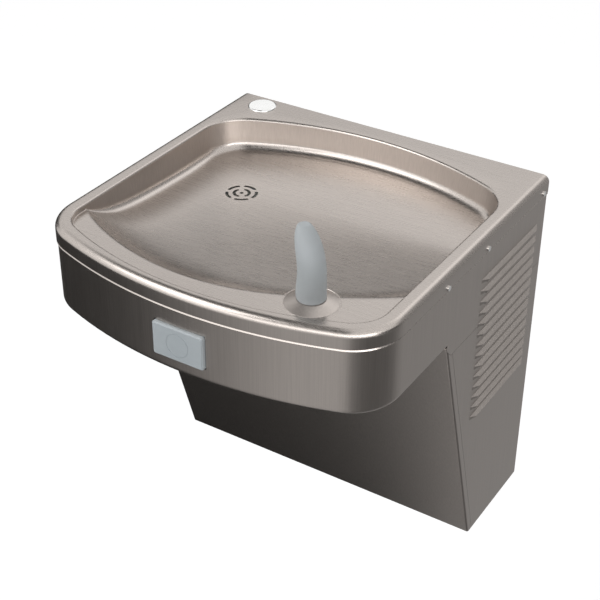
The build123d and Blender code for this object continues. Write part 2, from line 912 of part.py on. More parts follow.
# Lower front panel: slanted plate with side returns and two flanges
plate_step = sheet * math.sqrt(1 + front_lean ** 2)
mitre_drop = wrap_side_drop - mitre_back_y + mitre_front_y
with BuildPart() as lower_front_panel:
    with BuildSketch(Plane.YZ.offset(-side_x)):
        with BuildLine():
            Polyline(
                (front_y(pan_drop), at(pan_drop)),
                (front_y(height), at(height)),
                (front_y(height) + front_return, at(height)),
                (front_y(pan_drop) + front_return, at(pan_drop)),
                close=True,
            )
        make_face()
    extrude(amount=2 * side_x)
    corners = lower_front_panel.edges().filter_by(
        lambda edge: edge.length > pan_drop and edge.center().Y < front_y(height / 2 + pan_drop / 2) + 1
    )
    fillet(corners, front_bend)
    with BuildSketch(Plane.YZ.offset(sheet - side_x)):
        with BuildLine():
            Polyline(
                (front_y(pan_drop) + plate_step, at(pan_drop + sheet)),
                (front_y(height) + plate_step, at(height - sheet)),
                (front_y(height) + 2 * front_return, at(height - sheet)),
                (front_y(pan_drop) + 2 * front_return, at(pan_drop + sheet)),
                close=True,
            )
        make_face()
    extrude(amount=2 * (side_x - sheet), mode=Mode.SUBTRACT)
    block(
        (-side_x + front_return, side_x - front_return),
        (front_y(pan_drop) + front_bend, front_y(pan_drop) + front_flange),
        (pan_drop, pan_drop + sheet),
    )
    block(
        (-side_x + 2 * bottom_flange, side_x - 2 * bottom_flange),
        (front_y(height) + front_bend, front_y(height) + bottom_flange),
        (height - sheet, height),
    )
    for x, y in front_screw_spots:
        bar((x, y, height - 2 * sheet), (x, y, height + sheet), cover_screw_radius, Mode.SUBTRACT)
    for side in (-1, 1):
        with BuildSketch(Plane.YZ.offset(side * (inner_x - wrap_gap))):
            with BuildLine():
                Polyline(
                    (relief_front_y - 1, at(pan_drop - 1)),
                    (relief_front_y - 1, at(mitre_drop + seam_gap)),
                    (mitre_front_y, at(mitre_drop + seam_gap)),
                    (mitre_back_y, at(wrap_side_drop + seam_gap)),
                    (mitre_back_y + front_return, at(wrap_side_drop + seam_gap)),
                    (mitre_back_y + front_return, at(pan_drop - 1)),
                    close=True,
                )
            make_face()
        extrude(amount=side * 3 * sheet, mode=Mode.SUBTRACT)
write(lower_front_panel.part, "lower_front_panel")


def side_panel(side, hood):
    """Lower side panel with its louvres, bottom flange and the lip behind the wrapper."""
    outer = side * side_x
    inner = side * inner_x
    top = wrap_side_drop + seam_gap
    edge_shift = front_return + seam_gap
    with BuildPart() as panel:
        with BuildSketch(Plane.YZ.offset(min(outer, inner))):
            with BuildLine():
                Polyline(
                    (front_y(top) + edge_shift, at(top)),
                    (front_y(height) + edge_shift, at(height)),
                    (0, at(height)),
                    (0, at(top)),
                    close=True,
                )
            make_face()
        extrude(amount=sheet)
        louvre_cuts(louvre_upper_count, louvre_count - louvre_upper_count)
        block(
            (-width, width),
            (louvre_slot_y, louvre_back_y),
            (top - 1, seam_louvre_drop + louvre_cut),
            Mode.SUBTRACT,
        )
        block(
            (-width, width),
            (louvre_front_y - seam_gap, louvre_slot_y + 1),
            (top - 1, hood_end_drop + seam_gap),
            Mode.SUBTRACT,
        )
        louvre_hoods(hood, louvre_upper_count, louvre_count - louvre_upper_count)
        block(
            (side * (inner_x - bottom_flange), outer),
            (front_y(height) + edge_shift + 2, -frame_sheet),
            (height - sheet, height),
        )
        block(
            (side * (inner_x - sheet), inner),
            (lip_front_y, lip_back_y),
            (top - lip_overlap, top + lip_overlap / 2),
        )
        block(
            (side * (inner_x - sheet), side * (inner_x + sheet / 2)),
            (lip_front_y, lip_back_y),
            (top, top + lip_overlap / 2),
        )
        for x, y in side_screw_spots:
            bar((x, y, height - 2 * sheet), (x, y, height + sheet), cover_screw_radius, Mode.SUBTRACT)
    return panel.part


write(side_panel(-1, left_hood), "left_side_panel")
write(side_panel(1, right_hood), "right_side_panel")


# Back frame, the hanger on the wall and the base shelf
window = (hanger_half + window_clearance, hanger_drop, hanger_drop + hanger_height + hanger_sheet)
with BuildPart() as back_frame:
    block((-inner_x, inner_x), (-frame_sheet, 0), (skirt_depth, shelf_drop))
    for side in (-1, 1):
        block(
            (side * (inner_x - frame_sheet), side * inner_x),
            (-frame_flange, 0),
            (skirt_depth, shelf_drop),
        )
    block((-inner_x, inner_x), (-frame_flange, 0), (skirt_depth, skirt_depth + frame_sheet))
    block((-window[0], window[0]), (-2 * frame_sheet, 1), (window[1], window[2]), Mode.SUBTRACT)
    with Locations(Plane.XZ):
        with GridLocations(wall_bolt_x, wall_bolt_z, 2, 2):
            Hole(wall_bolt_hole, depth=2 * frame_sheet)
    bar(
        (drain_centre[0], -2 * frame_sheet, drain_tube_drop),
        (drain_centre[0], 1, drain_tube_drop),
        drain_tail_radius + frame_hole_gap,
        Mode.SUBTRACT,
    )
    bar(
        (inlet_x, -2 * frame_sheet, inlet_drop),
        (inlet_x, 1, inlet_drop),
        inlet_tail_radius + frame_hole_gap,
        Mode.SUBTRACT,
    )
    bar(
        (gland_spot[0], -2 * frame_sheet, gland_spot[1]),
        (gland_spot[0], 1, gland_spot[1]),
        gland_radius + hole_slack,
        Mode.SUBTRACT,
    )
    for y in screw_ys[:1]:
        bar((-width, y, screw_drop), (width, y, screw_drop), thread_hole, Mode.SUBTRACT)
write(back_frame.part, "back_frame")

with BuildPart() as wall_hanger:
    web_drop = hanger_drop + hanger_sheet
    hook_y = -frame_sheet - hanger_gap
    across = (-hanger_half, hanger_half)
    block(across, (-hanger_sheet, 0), (web_drop - hanger_sheet, hanger_drop + hanger_height))
    block(across, (hook_y - hanger_sheet, 0), (hanger_drop, web_drop))
    block(
        across,
        (hook_y - hanger_sheet, hook_y),
        (hanger_drop - hanger_hook, web_drop),
    )
    for x in (-hanger_bolt_x / 2, hanger_bolt_x / 2):
        bar(
            (x, -2 * hanger_sheet, hanger_bolt_drop),
            (x, 1, hanger_bolt_drop),
            hanger_bolt_hole,
            Mode.SUBTRACT,
        )
write(wall_hanger.part, "wall_hanger")

shelf_front_y = front_y(shelf_drop) + plate_step + shelf_front_gap
with BuildPart() as base_shelf:
    block(
        (frame_sheet - inner_x, inner_x - frame_sheet),
        (shelf_front_y, -frame_sheet),
        (shelf_drop - frame_sheet, shelf_drop),
    )
    for x, y in side_screw_spots + front_screw_spots:
        bar((x, y, shelf_drop - 2 * frame_sheet), (x, y, shelf_drop + 1), cover_screw_radius, Mode.SUBTRACT)
    for x in (-foot_spread[0] / 2, foot_spread[0] / 2):
        for y in (-foot_spread[1] / 2, foot_spread[1] / 2):
            spot = (compressor_centre[0] + x, compressor_centre[1] + y)
            bar(
                (*spot, shelf_drop - 2 * frame_sheet),
                (*spot, shelf_drop + 1),
                foot_bolt_radius + thread_slack,
                Mode.SUBTRACT,
            )
write(base_shelf.part, "base_shelf")


def pan_screw(start, direction, radius, head_radius, length):
    """Round-headed screw whose head seats at the start point; the shank runs along the direction."""
    place = Plane(origin=(start[0], start[1], at(start[2])), z_dir=direction)
    head = head_radius * screw_head_share
    with BuildPart() as screw:
        with Locations(place):
            Cylinder(head_radius, head, align=(Align.CENTER, Align.CENTER, Align.MAX))
        with Locations(place):
            Cylinder(radius, length, align=(Align.CENTER, Align.CENTER, Align.MIN))
    return screw.part


with BuildPart() as basin_screws:
    for y in screw_ys:
        for side in (-1, 1):
            add(
                pan_screw(
                    (side * width / 2, y, screw_drop),
                    (-side, 0, 0),
                    cover_screw_radius,
                    cover_screw_head,
                    cover_screw_length,
                )
            )
write(basin_screws.part, "basin_screws")

with BuildPart() as panel_screws:
    for x, y in side_screw_spots + front_screw_spots:
        add(
            pan_screw(
                (x, y, height),
                (0, 0, 1),
                cover_screw_radius - thread_slack,
                cover_screw_head,
                cover_screw_length / 2,
            )
        )
write(panel_screws.part, "panel_screws")

# Push pad, its bezel and the regulator behind it
with BuildPart() as push_pad:
    with BuildSketch(Plane.XZ.offset(-pad_front_y)):
        with Locations((0, at(pad_drop))):
            RectangleRounded(pad_width, pad_height, pad_corner)
    extrude(amount=pad_front_y - pad_flange_front_y)
    chamfer(push_pad.edges().group_by(Axis.Y)[0], pad_edge)
    with BuildSketch(Plane.XZ.offset(-pad_flange_front_y)):
        with Locations((0, at(pad_drop))):
            Rectangle(pad_width + 2 * pad_flange, pad_height + 2 * pad_flange)
    extrude(amount=-pad_flange_sheet)
    bar((0, pad_flange_front_y, pad_drop), (0, pad_rod_end_y, pad_drop), pad_rod_radius)
    with BuildSketch(Plane.XZ.offset(-pad_front_y)):
        with Locations((0, at(pad_drop))):
            Circle(ring_radius)
            Circle(ring_radius - ring_groove, mode=Mode.SUBTRACT)
    extrude(amount=-ring_depth, mode=Mode.SUBTRACT)
write(push_pad.part, "push_pad")

pocket_half = (
    pad_width / 2 + pad_flange + bezel_pocket_gap,
    pad_height / 2 + pad_flange + bezel_pocket_gap,
)
bezel_half = (pocket_half[0] + bezel_border, pocket_half[1] + bezel_border)
with BuildPart() as pad_bezel:
    with BuildSketch(Plane.XY.offset(at(pad_drop + bezel_half[1]))):
        add(cover_outline(wrap_inset + sheet, 0))
    extrude(amount=2 * bezel_half[1])
    block(
        (-bezel_half[0], bezel_half[0]),
        (-depth, bezel_back_y + bezel_plate),
        (pad_drop - bezel_half[1], pad_drop + bezel_half[1]),
        Mode.INTERSECT,
    )
    block(
        (-pocket_half[0], pocket_half[0]),
        (bezel_lip_y, bezel_back_y),
        (pad_drop - pocket_half[1], pad_drop + pocket_half[1]),
        Mode.SUBTRACT,
    )
    block(
        (-pad_width / 2 - pad_clearance, pad_width / 2 + pad_clearance),
        (-depth, bezel_back_y),
        (pad_drop - pad_height / 2 - pad_clearance, pad_drop + pad_height / 2 + pad_clearance),
        Mode.SUBTRACT,
    )
    bar((0, -depth, pad_drop), (0, 0, pad_drop), pad_rod_radius + running_gap, Mode.SUBTRACT)
write(pad_bezel.part, "pad_bezel")

port_end_x = valve_radius + port_length
with BuildPart() as regulator_valve:
    bar((0, valve_front_y, pad_drop), (0, valve_back_y, pad_drop), valve_radius)
    chamfer(regulator_valve.edges().filter_by(GeomType.CIRCLE), 1.0)
    bar((-port_end_x, stem_back_y, pad_drop), (port_end_x, stem_back_y, pad_drop), port_radius)
    bar((0, -depth, pad_drop), (0, valve_bore_end_y, pad_drop), stem_radius + running_gap, Mode.SUBTRACT)
write(regulator_valve.part, "regulator_valve")

with BuildPart() as valve_stem:
    bar((0, stem_front_y, pad_drop), (0, stem_back_y, pad_drop), stem_radius)
    button_back_y = stem_front_y + stem_button
    bar((0, stem_front_y, pad_drop), (0, button_back_y, pad_drop), pad_rod_radius - button_inset)
write(valve_stem.part, "valve_stem")

pan_top_drop = pan_drop - sheet
with BuildPart() as valve_bracket:
    block(
        (-bracket_half, bracket_half),
        (valve_back_y, valve_back_y + frame_sheet),
        (bracket_top_drop, pan_top_drop),
    )
    block(
        (-bracket_half, bracket_half),
        (valve_back_y, valve_back_y + bracket_foot),
        (pan_top_drop - frame_sheet, pan_top_drop),
    )
write(valve_bracket.part, "valve_bracket")

# Water line: inlet strainer, tube to the regulator, tube to the tank and tube to the bubbler
with BuildPart() as inlet_strainer:
    bar((inlet_x, inlet_front_y, inlet_drop), (inlet_x, inlet_back_y, inlet_drop), inlet_radius)
    chamfer(inlet_strainer.edges().filter_by(GeomType.CIRCLE), inlet_chamfer)
    bar((inlet_x, inlet_back_y - 1, inlet_drop), (inlet_x, inlet_tail_y, inlet_drop), inlet_tail_radius)
write(inlet_strainer.part, "inlet_strainer")

with BuildPart() as strainer_clip:
    with BuildSketch(Plane.XZ.offset(-inlet_back_y + clip_width)):
        with Locations((inlet_x, at(inlet_drop))):
            Circle(inlet_radius + clip_sheet)
            Rectangle(
                clip_foot, 2 * clip_sheet, align=(Align.MIN, Align.CENTER)
            )
            Circle(inlet_radius, mode=Mode.SUBTRACT)
    extrude(amount=-clip_width)
    block(
        (inlet_x + clip_foot - clip_sheet, inlet_x + clip_foot),
        (inlet_back_y - clip_width, -frame_sheet),
        (inlet_drop - clip_sheet, inlet_drop + clip_sheet),
    )
write(strainer_clip.part, "strainer_clip")

regulator_y = stem_back_y
inlet_path = (
    (inlet_x, inlet_front_y, inlet_drop),
    (inlet_x, inlet_turn_y, inlet_drop),
    (inlet_x, inlet_turn_y, water_level),
    (inlet_x, regulator_y, water_level),
    (inlet_x, regulator_y, pad_drop),
    (port_end_x, regulator_y, pad_drop),
)
write(pipe(inlet_path, tube_radius, tube_bore, tube_tight_bend), "inlet_tube")

outlet_path = (
    (-port_end_x, regulator_y, pad_drop),
    (-outlet_x, regulator_y, pad_drop),
    (-outlet_x, tank_centre[1] + tank_port, pad_drop),
    (-outlet_x, tank_centre[1] + tank_port, tube_level),
    (tank_centre[0] + tank_port, tank_centre[1] + tank_port, tube_level),
    (tank_centre[0] + tank_port, tank_centre[1] + tank_port, tank_drop),
)
write(pipe(outlet_path, tube_radius, tube_bore, tube_tight_bend), "outlet_tube")

supply_path = (
    (tank_centre[0] - tank_port, tank_centre[1] - tank_port, tank_drop),
    (tank_centre[0] - tank_port, tank_centre[1] - tank_port, tube_level),
    (tank_centre[0] - tank_port, supply_turn_y, tube_level),
    (boss_centre[0], supply_turn_y, tube_level),
    (boss_centre[0], supply_turn_y, water_level),
    (*boss_centre, water_level),
    (*boss_centre, deck_top - boss_top - socket_depth + shank_length),
)
write(pipe(supply_path, tube_radius, tube_bore, tube_tight_bend), "supply_tube")

# Chiller tank in its foam sleeve on a shelf
with BuildPart() as chiller_tank:
    bar(tank_top, (*tank_centre, tank_drop + tank_length), tank_radius)
    fillet(chiller_tank.edges().filter_by(GeomType.CIRCLE), tank_fillet)
write(chiller_tank.part, "chiller_tank")

with BuildPart() as tank_jacket:
    bar(
        (*tank_centre, tank_drop + jacket_inset),
        (*tank_centre, tank_drop + tank_length),
        tank_radius + jacket_wall,
    )
    bar(tank_top, (*tank_centre, tank_drop + 2 * tank_length), tank_radius + running_gap, Mode.SUBTRACT)
write(tank_jacket.part, "tank_jacket")

with BuildPart() as tank_shelf:
    block(
        (tank_centre[0] - tank_reach, tank_centre[0] + tank_reach),
        (tank_shelf_front_y, -frame_sheet),
        (tank_drop + tank_length, tank_drop + tank_length + frame_sheet),
    )
    block(
        (tank_centre[0] - tank_reach, tank_centre[0] + tank_reach),
        (-2 * frame_sheet, -frame_sheet),
        (tank_drop + tank_length, tank_drop + tank_length + 2 * frame_flange),
    )
write(tank_shelf.part, "tank_shelf")

# Compressor on its rubber feet
compressor_bottom = compressor_drop + compressor_length
with BuildPart() as compressor:
    bar((*compressor_centre, compressor_drop), (*compressor_centre, compressor_bottom), compressor_radius)
    fillet(compressor.edges().filter_by(GeomType.CIRCLE), compressor_dome)
    with BuildSketch(Plane.XY.offset(at(foot_plate_drop))):
        with Locations(compressor_centre):
            RectangleRounded(foot_spread[0] + 2 * foot_radius, foot_spread[1] + 2 * foot_radius, foot_radius)
            with GridLocations(*foot_spread, 2, 2):
                Circle(foot_bolt_radius + foot_hole_slack, mode=Mode.SUBTRACT)
    extrude(amount=foot_plate)
    bar(
        (*compressor_centre, compressor_bottom - 2),
        (*compressor_centre, foot_plate_drop - foot_plate),
        compressor_radius * pedestal_share,
    )
write(compressor.part, "compressor")

shelf_top_drop = shelf_drop - frame_sheet
with BuildPart() as compressor_feet:
    with BuildSketch(Plane.XY.offset(at(shelf_top_drop))):
        with Locations(compressor_centre):
            with GridLocations(*foot_spread, 2, 2):
                Circle(foot_radius)
                Circle(foot_bolt_radius + foot_hole_slack, mode=Mode.SUBTRACT)
    extrude(amount=shelf_top_drop - foot_plate_drop)
write(compressor_feet.part, "compressor_feet")

with BuildPart() as compressor_bolts:
    with BuildSketch(Plane.XY.offset(at(shelf_drop))):
        with Locations(compressor_centre):
            with GridLocations(*foot_spread, 2, 2):
                Circle(foot_bolt_radius)
    extrude(amount=shelf_drop - foot_plate_drop + foot_plate)
    with BuildSketch(Plane.XY.offset(at(foot_plate_drop - foot_plate))):
        with Locations(compressor_centre):
            with GridLocations(*foot_spread, 2, 2):
                RegularPolygon(2 * foot_bolt_radius, 6)
    extrude(amount=foot_bolt_radius)
write(compressor_bolts.part, "compressor_bolts")

relay_left = compressor_centre[0] - compressor_radius - relay_size[0] + relay_seat
with BuildPart() as relay_cover:
    block(
        (relay_left, relay_left + relay_size[0]),
        (compressor_centre[1] - relay_size[1] / 2, compressor_centre[1] + relay_size[1] / 2),
        (relay_drop - relay_size[2] / 2, relay_drop + relay_size[2] / 2),
    )
    fillet(relay_cover.edges().filter_by(Axis.Z).group_by(Axis.X)[0], relay_fillet)
    bar(
        (*compressor_centre, compressor_drop),
        (*compressor_centre, compressor_bottom),
        compressor_radius,
        Mode.SUBTRACT,
    )
write(relay_cover.part, "relay_cover")

# Condenser: fins on one tube that runs back and forth
coil_x = condenser_x + condenser_depth / 2
run_pitch = condenser_height / condenser_runs
run_drops = [condenser_drop + (k + 0.5) * run_pitch for k in range(condenser_runs)]
fin_pitch = (condenser_y[1] - condenser_y[0] - fin_sheet) / (condenser_fins - 1)
with BuildPart() as condenser:
    for k in range(condenser_fins):
        fin_y = condenser_y[0] + k * fin_pitch
        block(
            (condenser_x, condenser_x + condenser_depth),
            (fin_y, fin_y + fin_sheet),
            (condenser_drop, condenser_drop + condenser_height),
        )
    for drop in run_drops:
        bar((coil_x, condenser_y[0] - 2, drop), (coil_x, condenser_y[1] + 2, drop), condenser_tube)
    for k in range(condenser_runs - 1):
        end = condenser_y[1] + 2 if k % 2 == 0 else condenser_y[0] - 2
        turn = 1 if k % 2 == 0 else -1
        centre = (coil_x, end, at((run_drops[k] + run_drops[k + 1]) / 2))
        with BuildSketch(Plane(origin=(coil_x, end, at(run_drops[k])), z_dir=(0, 1, 0))):
            Circle(condenser_tube)
        revolve(axis=Axis(centre, (1, 0, 0)), revolution_arc=-180 * turn)
write(condenser.part, "condenser")

# Fan: shroud, motor on its spider, shaft and blade
ring_front = fan_x - fan_depth / 2
with BuildPart() as fan_shroud:
    condenser_drops = (condenser_drop, condenser_drop + condenser_height)
    block(shroud_x, condenser_y, condenser_drops)
    block(
        (shroud_x[0] + shroud_sheet, shroud_x[1] + 1),
        (condenser_y[0] + shroud_sheet, condenser_y[1] - shroud_sheet),
        (condenser_drops[0] + shroud_sheet, condenser_drops[1] - shroud_sheet),
        Mode.SUBTRACT,
    )
    bar((ring_front, *fan_centre), (shroud_x[0] + shroud_sheet, *fan_centre), shroud_ring + shroud_sheet)
    bar((ring_front - 1, *fan_centre), (shroud_x[1], *fan_centre), shroud_ring, Mode.SUBTRACT)
write(fan_shroud.part, "fan_shroud")

with BuildPart() as fan_motor:
    bar((motor_x[0], *fan_centre), (motor_x[1], *fan_centre), motor_radius)
    fillet(fan_motor.edges().filter_by(GeomType.CIRCLE), motor_fillet)
    bar(
        (motor_x[0] + motor_bore_start, *fan_centre),
        (motor_x[1] + 1, *fan_centre),
        fan_shaft_radius + running_gap,
        Mode.SUBTRACT,
    )
write(fan_motor.part, "fan_motor")

arm_radius = shroud_ring + shroud_sheet + arm_gap
clamp_x = ((motor_x[0] + motor_x[1]) / 2 - arm_width / 2, (motor_x[0] + motor_x[1]) / 2 + arm_width / 2)
with BuildPart() as fan_bracket:
    bar((clamp_x[0], *fan_centre), (clamp_x[1], *fan_centre), motor_radius + arm_sheet)
    for k in range(4):
        angle = math.radians(45 + 90 * k)
        with BuildSketch(
            Plane(
                origin=(clamp_x[0], fan_centre[0], at(fan_centre[1])),
                x_dir=(0, math.cos(angle), math.sin(angle)),
                z_dir=(1, 0, 0),
            )
        ):
            with Locations((motor_radius + arm_sheet / 2, 0)):
                Rectangle(
                    arm_radius + arm_sheet - motor_radius - arm_sheet / 2,
                    arm_width,
                    align=(Align.MIN, Align.CENTER),
                )
        extrude(amount=arm_sheet)
        with BuildSketch(
            Plane(
                origin=(clamp_x[0], fan_centre[0], at(fan_centre[1])),
                x_dir=(0, math.cos(angle), math.sin(angle)),
                z_dir=(1, 0, 0),
            )
        ):
            with Locations((arm_radius, 0)):
                Rectangle(arm_sheet, arm_width, align=(Align.MIN, Align.CENTER))
        extrude(amount=shroud_x[0] - clamp_x[0])
    bar((clamp_x[0] - 1, *fan_centre), (clamp_x[1] + 1, *fan_centre), motor_radius, Mode.SUBTRACT)
write(fan_bracket.part, "fan_bracket")

with BuildPart() as fan_shaft:
    shaft_end_x = fan_x + hub_length / 2 + shaft_stand_out
    bar((motor_x[0] + motor_bore_start, *fan_centre), (shaft_end_x, *fan_centre), fan_shaft_radius)
write(fan_shaft.part, "fan_shaft")

with BuildPart() as fan_blade:
    bar((fan_x - hub_length / 2, *fan_centre), (fan_x + hub_length / 2, *fan_centre), hub_radius)
    for k in range(fan_blades):
        angle = math.radians(360 / fan_blades * k)
        out = Vector(0, math.cos(angle), math.sin(angle))
        along = Vector(0, -math.sin(angle), math.cos(angle))
        sections = []
        for radius, pitch, chord in blade_sections:
            lean = math.radians(pitch)
            line = along * math.cos(lean) + Vector(math.sin(lean), 0, 0)
            centre = Vector(fan_x, fan_centre[0], at(fan_centre[1])) + out * radius
            with BuildSketch(Plane(origin=centre, x_dir=line, z_dir=out)) as section:
                Rectangle(chord, blade_sheet)
        loft(ruled=True)
    bar(
        (fan_x - hub_length, *fan_centre),
        (fan_x + hub_length, *fan_centre),
        fan_shaft_radius + hub_slack,
        Mode.SUBTRACT,
    )
write(fan_blade.part, "fan_blade")

# Refrigerant line
with BuildPart() as filter_drier:
    bar((*drier_spot, drier_drop), (*drier_spot, drier_drop + drier_length), drier_radius)
    chamfer(filter_drier.edges().filter_by(GeomType.CIRCLE), drier_chamfer)
write(filter_drier.part, "filter_drier")

discharge_path = (
    (compressor_centre[0] + compressor_radius, compressor_centre[1], discharge_drop),
    (coil_x, compressor_centre[1], discharge_drop),
    (coil_x, coil_front_y, discharge_drop),
    (coil_x, coil_front_y, run_drops[0]),
    (coil_x, condenser_y[0] - 2, run_drops[0]),
)
write(pipe(discharge_path, line_radius, 0, line_bend), "discharge_tube")

liquid_path = (
    (coil_x, condenser_y[1] + 2, run_drops[-1]),
    (coil_x, coil_back_y, run_drops[-1]),
    (coil_x, coil_back_y, liquid_drop),
    (drier_spot[0], coil_back_y, liquid_drop),
    (drier_spot[0], drier_spot[1], liquid_drop),
    (*drier_spot, drier_drop),
)
write(pipe(liquid_path, line_radius, 0, line_bend - 1), "liquid_tube")

capillary_end = math.radians(-45)
capillary_path = (
    (*drier_spot, drier_drop + drier_length),
    (*drier_spot, capillary_drop),
    (drier_spot[0], capillary_y, capillary_drop),
    (capillary_x, capillary_y, capillary_drop),
    (capillary_x, capillary_y, capillary_rise_drop),
    (
        tank_centre[0] + tank_reach * math.cos(capillary_end),
        tank_centre[1] + tank_reach * math.sin(capillary_end),
        capillary_rise_drop,
    ),
)
capillary_tube = pipe(capillary_path, capillary_radius, 0, line_bend - 1) - tank_jacket.part
write(capillary_tube, "capillary_tube")

suction_path = (
    (tank_centre[0] + tank_reach, tank_centre[1], suction_top_drop),
    (suction_x, tank_centre[1], suction_top_drop),
    (suction_x, compressor_centre[1], discharge_drop),
    (compressor_centre[0] - compressor_radius, compressor_centre[1], discharge_drop),
)
write(pipe(suction_path, line_radius, 0, line_bend), "suction_tube")

# Controls and electrics
with BuildPart() as thermostat:
    block(
        (thermostat_x - thermostat_size[0] / 2, thermostat_x + thermostat_size[0] / 2),
        (-frame_sheet - thermostat_size[1], -frame_sheet),
        (thermostat_drop - thermostat_size[2] / 2, thermostat_drop + thermostat_size[2] / 2),
    )
    fillet(thermostat.edges().filter_by(Axis.Y), 2)
    bar(
        (thermostat_x, -depth, thermostat_drop),
        (thermostat_x, -frame_sheet - thermostat_size[1] / 2, thermostat_drop),
        stem_radius + running_gap,
        Mode.SUBTRACT,
    )
write(thermostat.part, "thermostat")

stem_root_y = -frame_sheet - thermostat_size[1] / 2 - stem_root_gap
stem_tip_y = -frame_sheet - thermostat_size[1] - knob_length
with BuildPart() as thermostat_stem:
    bar(
        (thermostat_x, stem_tip_y, thermostat_drop),
        (thermostat_x, stem_root_y, thermostat_drop),
        stem_radius,
    )
    block(
        (thermostat_x - stem_radius, thermostat_x + stem_radius),
        (stem_tip_y, stem_tip_y + knob_length * knob_flat_share),
        (thermostat_drop - stem_radius, thermostat_drop - stem_radius / 2),
        Mode.SUBTRACT,
    )
write(thermostat_stem.part, "thermostat_stem")

with BuildPart() as junction_box:
    block(
        (box_x - box_size[0] / 2, box_x + box_size[0] / 2),
        (-frame_sheet - box_size[1], -frame_sheet),
        (box_drop - box_size[2] / 2, box_drop + box_size[2] / 2),
    )
    fillet(junction_box.edges().filter_by(Axis.Y), box_fillet)
    block(
        (box_x - box_size[0] / 2 + box_groove_inset, box_x + box_size[0] / 2 - box_groove_inset),
        (-frame_sheet - box_size[1] - box_groove, -frame_sheet - box_size[1] + box_groove),
        (box_groove_drop, box_groove_drop + box_groove),
        Mode.SUBTRACT,
    )
write(junction_box.part, "junction_box")

with BuildPart() as cord_gland:
    gland_start = (gland_spot[0], -frame_sheet - gland_length, gland_spot[1])
    bar(gland_start, (gland_spot[0], -frame_sheet, gland_spot[1]), gland_flange)
    fillet(cord_gland.edges().group_by(Axis.Y)[0], 2)
    bar((gland_spot[0], -frame_sheet - 1, gland_spot[1]), (gland_spot[0], 0, gland_spot[1]), gland_radius)
    bar((gland_spot[0], -depth, gland_spot[1]), (gland_spot[0], 1, gland_spot[1]), gland_bore, Mode.SUBTRACT)
write(cord_gland.part, "cord_gland")
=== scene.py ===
import json
import math

import bmesh
import bpy
import numpy as np
from mathutils import Matrix, Vector


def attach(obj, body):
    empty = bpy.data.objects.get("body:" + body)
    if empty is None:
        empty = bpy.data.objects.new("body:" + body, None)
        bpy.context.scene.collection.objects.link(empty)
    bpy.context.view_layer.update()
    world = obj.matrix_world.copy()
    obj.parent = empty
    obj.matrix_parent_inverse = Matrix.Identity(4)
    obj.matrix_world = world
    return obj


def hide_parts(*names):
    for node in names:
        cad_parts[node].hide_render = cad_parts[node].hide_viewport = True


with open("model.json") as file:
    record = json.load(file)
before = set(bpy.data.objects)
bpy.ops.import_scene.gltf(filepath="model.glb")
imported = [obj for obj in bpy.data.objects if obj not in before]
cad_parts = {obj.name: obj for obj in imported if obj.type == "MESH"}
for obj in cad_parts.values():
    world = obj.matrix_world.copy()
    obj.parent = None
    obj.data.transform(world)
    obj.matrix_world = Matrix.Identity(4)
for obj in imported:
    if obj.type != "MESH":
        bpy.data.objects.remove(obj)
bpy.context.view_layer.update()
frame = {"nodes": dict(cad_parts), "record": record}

# Part of a noise's output that a finish's dark to light end spans
NOISE_LOW, NOISE_HIGH = 0.3, 0.7


def linear(red, green, blue):
    """Scene-linear colour with full alpha from display values of 0 to 255."""
    shares = [value / 255 for value in (red, green, blue)]
    return [s / 12.92 if s < 0.04045 else ((s + 0.055) / 1.055) ** 2.4 for s in shares] + [1.0]


def material(name, colour, roughness, **settings):
    """Principled material; settings are its other sockets, with _ for a space."""
    made = bpy.data.materials.new(name)
    made.use_nodes = True
    shader = made.node_tree.nodes["Principled BSDF"]
    shader.inputs["Base Color"].default_value = colour
    shader.inputs["Roughness"].default_value = roughness
    for socket, value in settings.items():
        shader.inputs[socket.replace("_", " ")].default_value = value
    return made


def texture(made, scale, stretch=(1, 1, 1), detail=3.0, kind="Noise"):
    """Output of a Noise or Voronoi pattern over the object's own coordinates, in metres."""
    nodes, links = made.node_tree.nodes, made.node_tree.links
    place = nodes.new("ShaderNodeTexCoord")
    mapping = nodes.new("ShaderNodeMapping")
    mapping.inputs["Scale"].default_value = stretch
    pattern = nodes.new("ShaderNodeTex" + kind)
    pattern.inputs["Scale"].default_value = scale
    if kind == "Noise":
        pattern.inputs["Detail"].default_value = detail
    links.new(place.outputs["Object"], mapping.inputs["Vector"])
    links.new(mapping.outputs["Vector"], pattern.inputs["Vector"])
    return pattern.outputs["Distance" if kind == "Voronoi" else "Fac"]


def tint(made, source, dark, light):
    """Base colour that runs from dark to light with source."""
    ramp = made.node_tree.nodes.new("ShaderNodeValToRGB")
    ramp.color_ramp.elements[0].position = NOISE_LOW
    ramp.color_ramp.elements[0].color = dark
    ramp.color_ramp.elements[1].position = NOISE_HIGH
    ramp.color_ramp.elements[1].color = light
    shader = made.node_tree.nodes["Principled BSDF"]
    made.node_tree.links.new(source, ramp.inputs["Fac"])
    made.node_tree.links.new(ramp.outputs["Color"], shader.inputs["Base Color"])


def rough(made, source, low, high):
    """Roughness that runs from low to high with source."""
    node = made.node_tree.nodes.new("ShaderNodeMapRange")
    ends = {"From Min": NOISE_LOW, "From Max": NOISE_HIGH, "To Min": low, "To Max": high}
    for socket, value in ends.items():
        node.inputs[socket].default_value = value
    shader = made.node_tree.nodes["Principled BSDF"]
    made.node_tree.links.new(source, node.inputs["Value"])
    made.node_tree.links.new(node.outputs["Result"], shader.inputs["Roughness"])


def bump(made, source, depth, strength):
    """Relief of that depth in metres, as strong as that share."""
    node = made.node_tree.nodes.new("ShaderNodeBump")
    node.inputs["Strength"].default_value = strength
    node.inputs["Distance"].default_value = depth
    shader = made.node_tree.nodes["Principled BSDF"]
    made.node_tree.links.new(source, node.inputs["Height"])
    made.node_tree.links.new(node.outputs["Normal"], shader.inputs["Normal"])


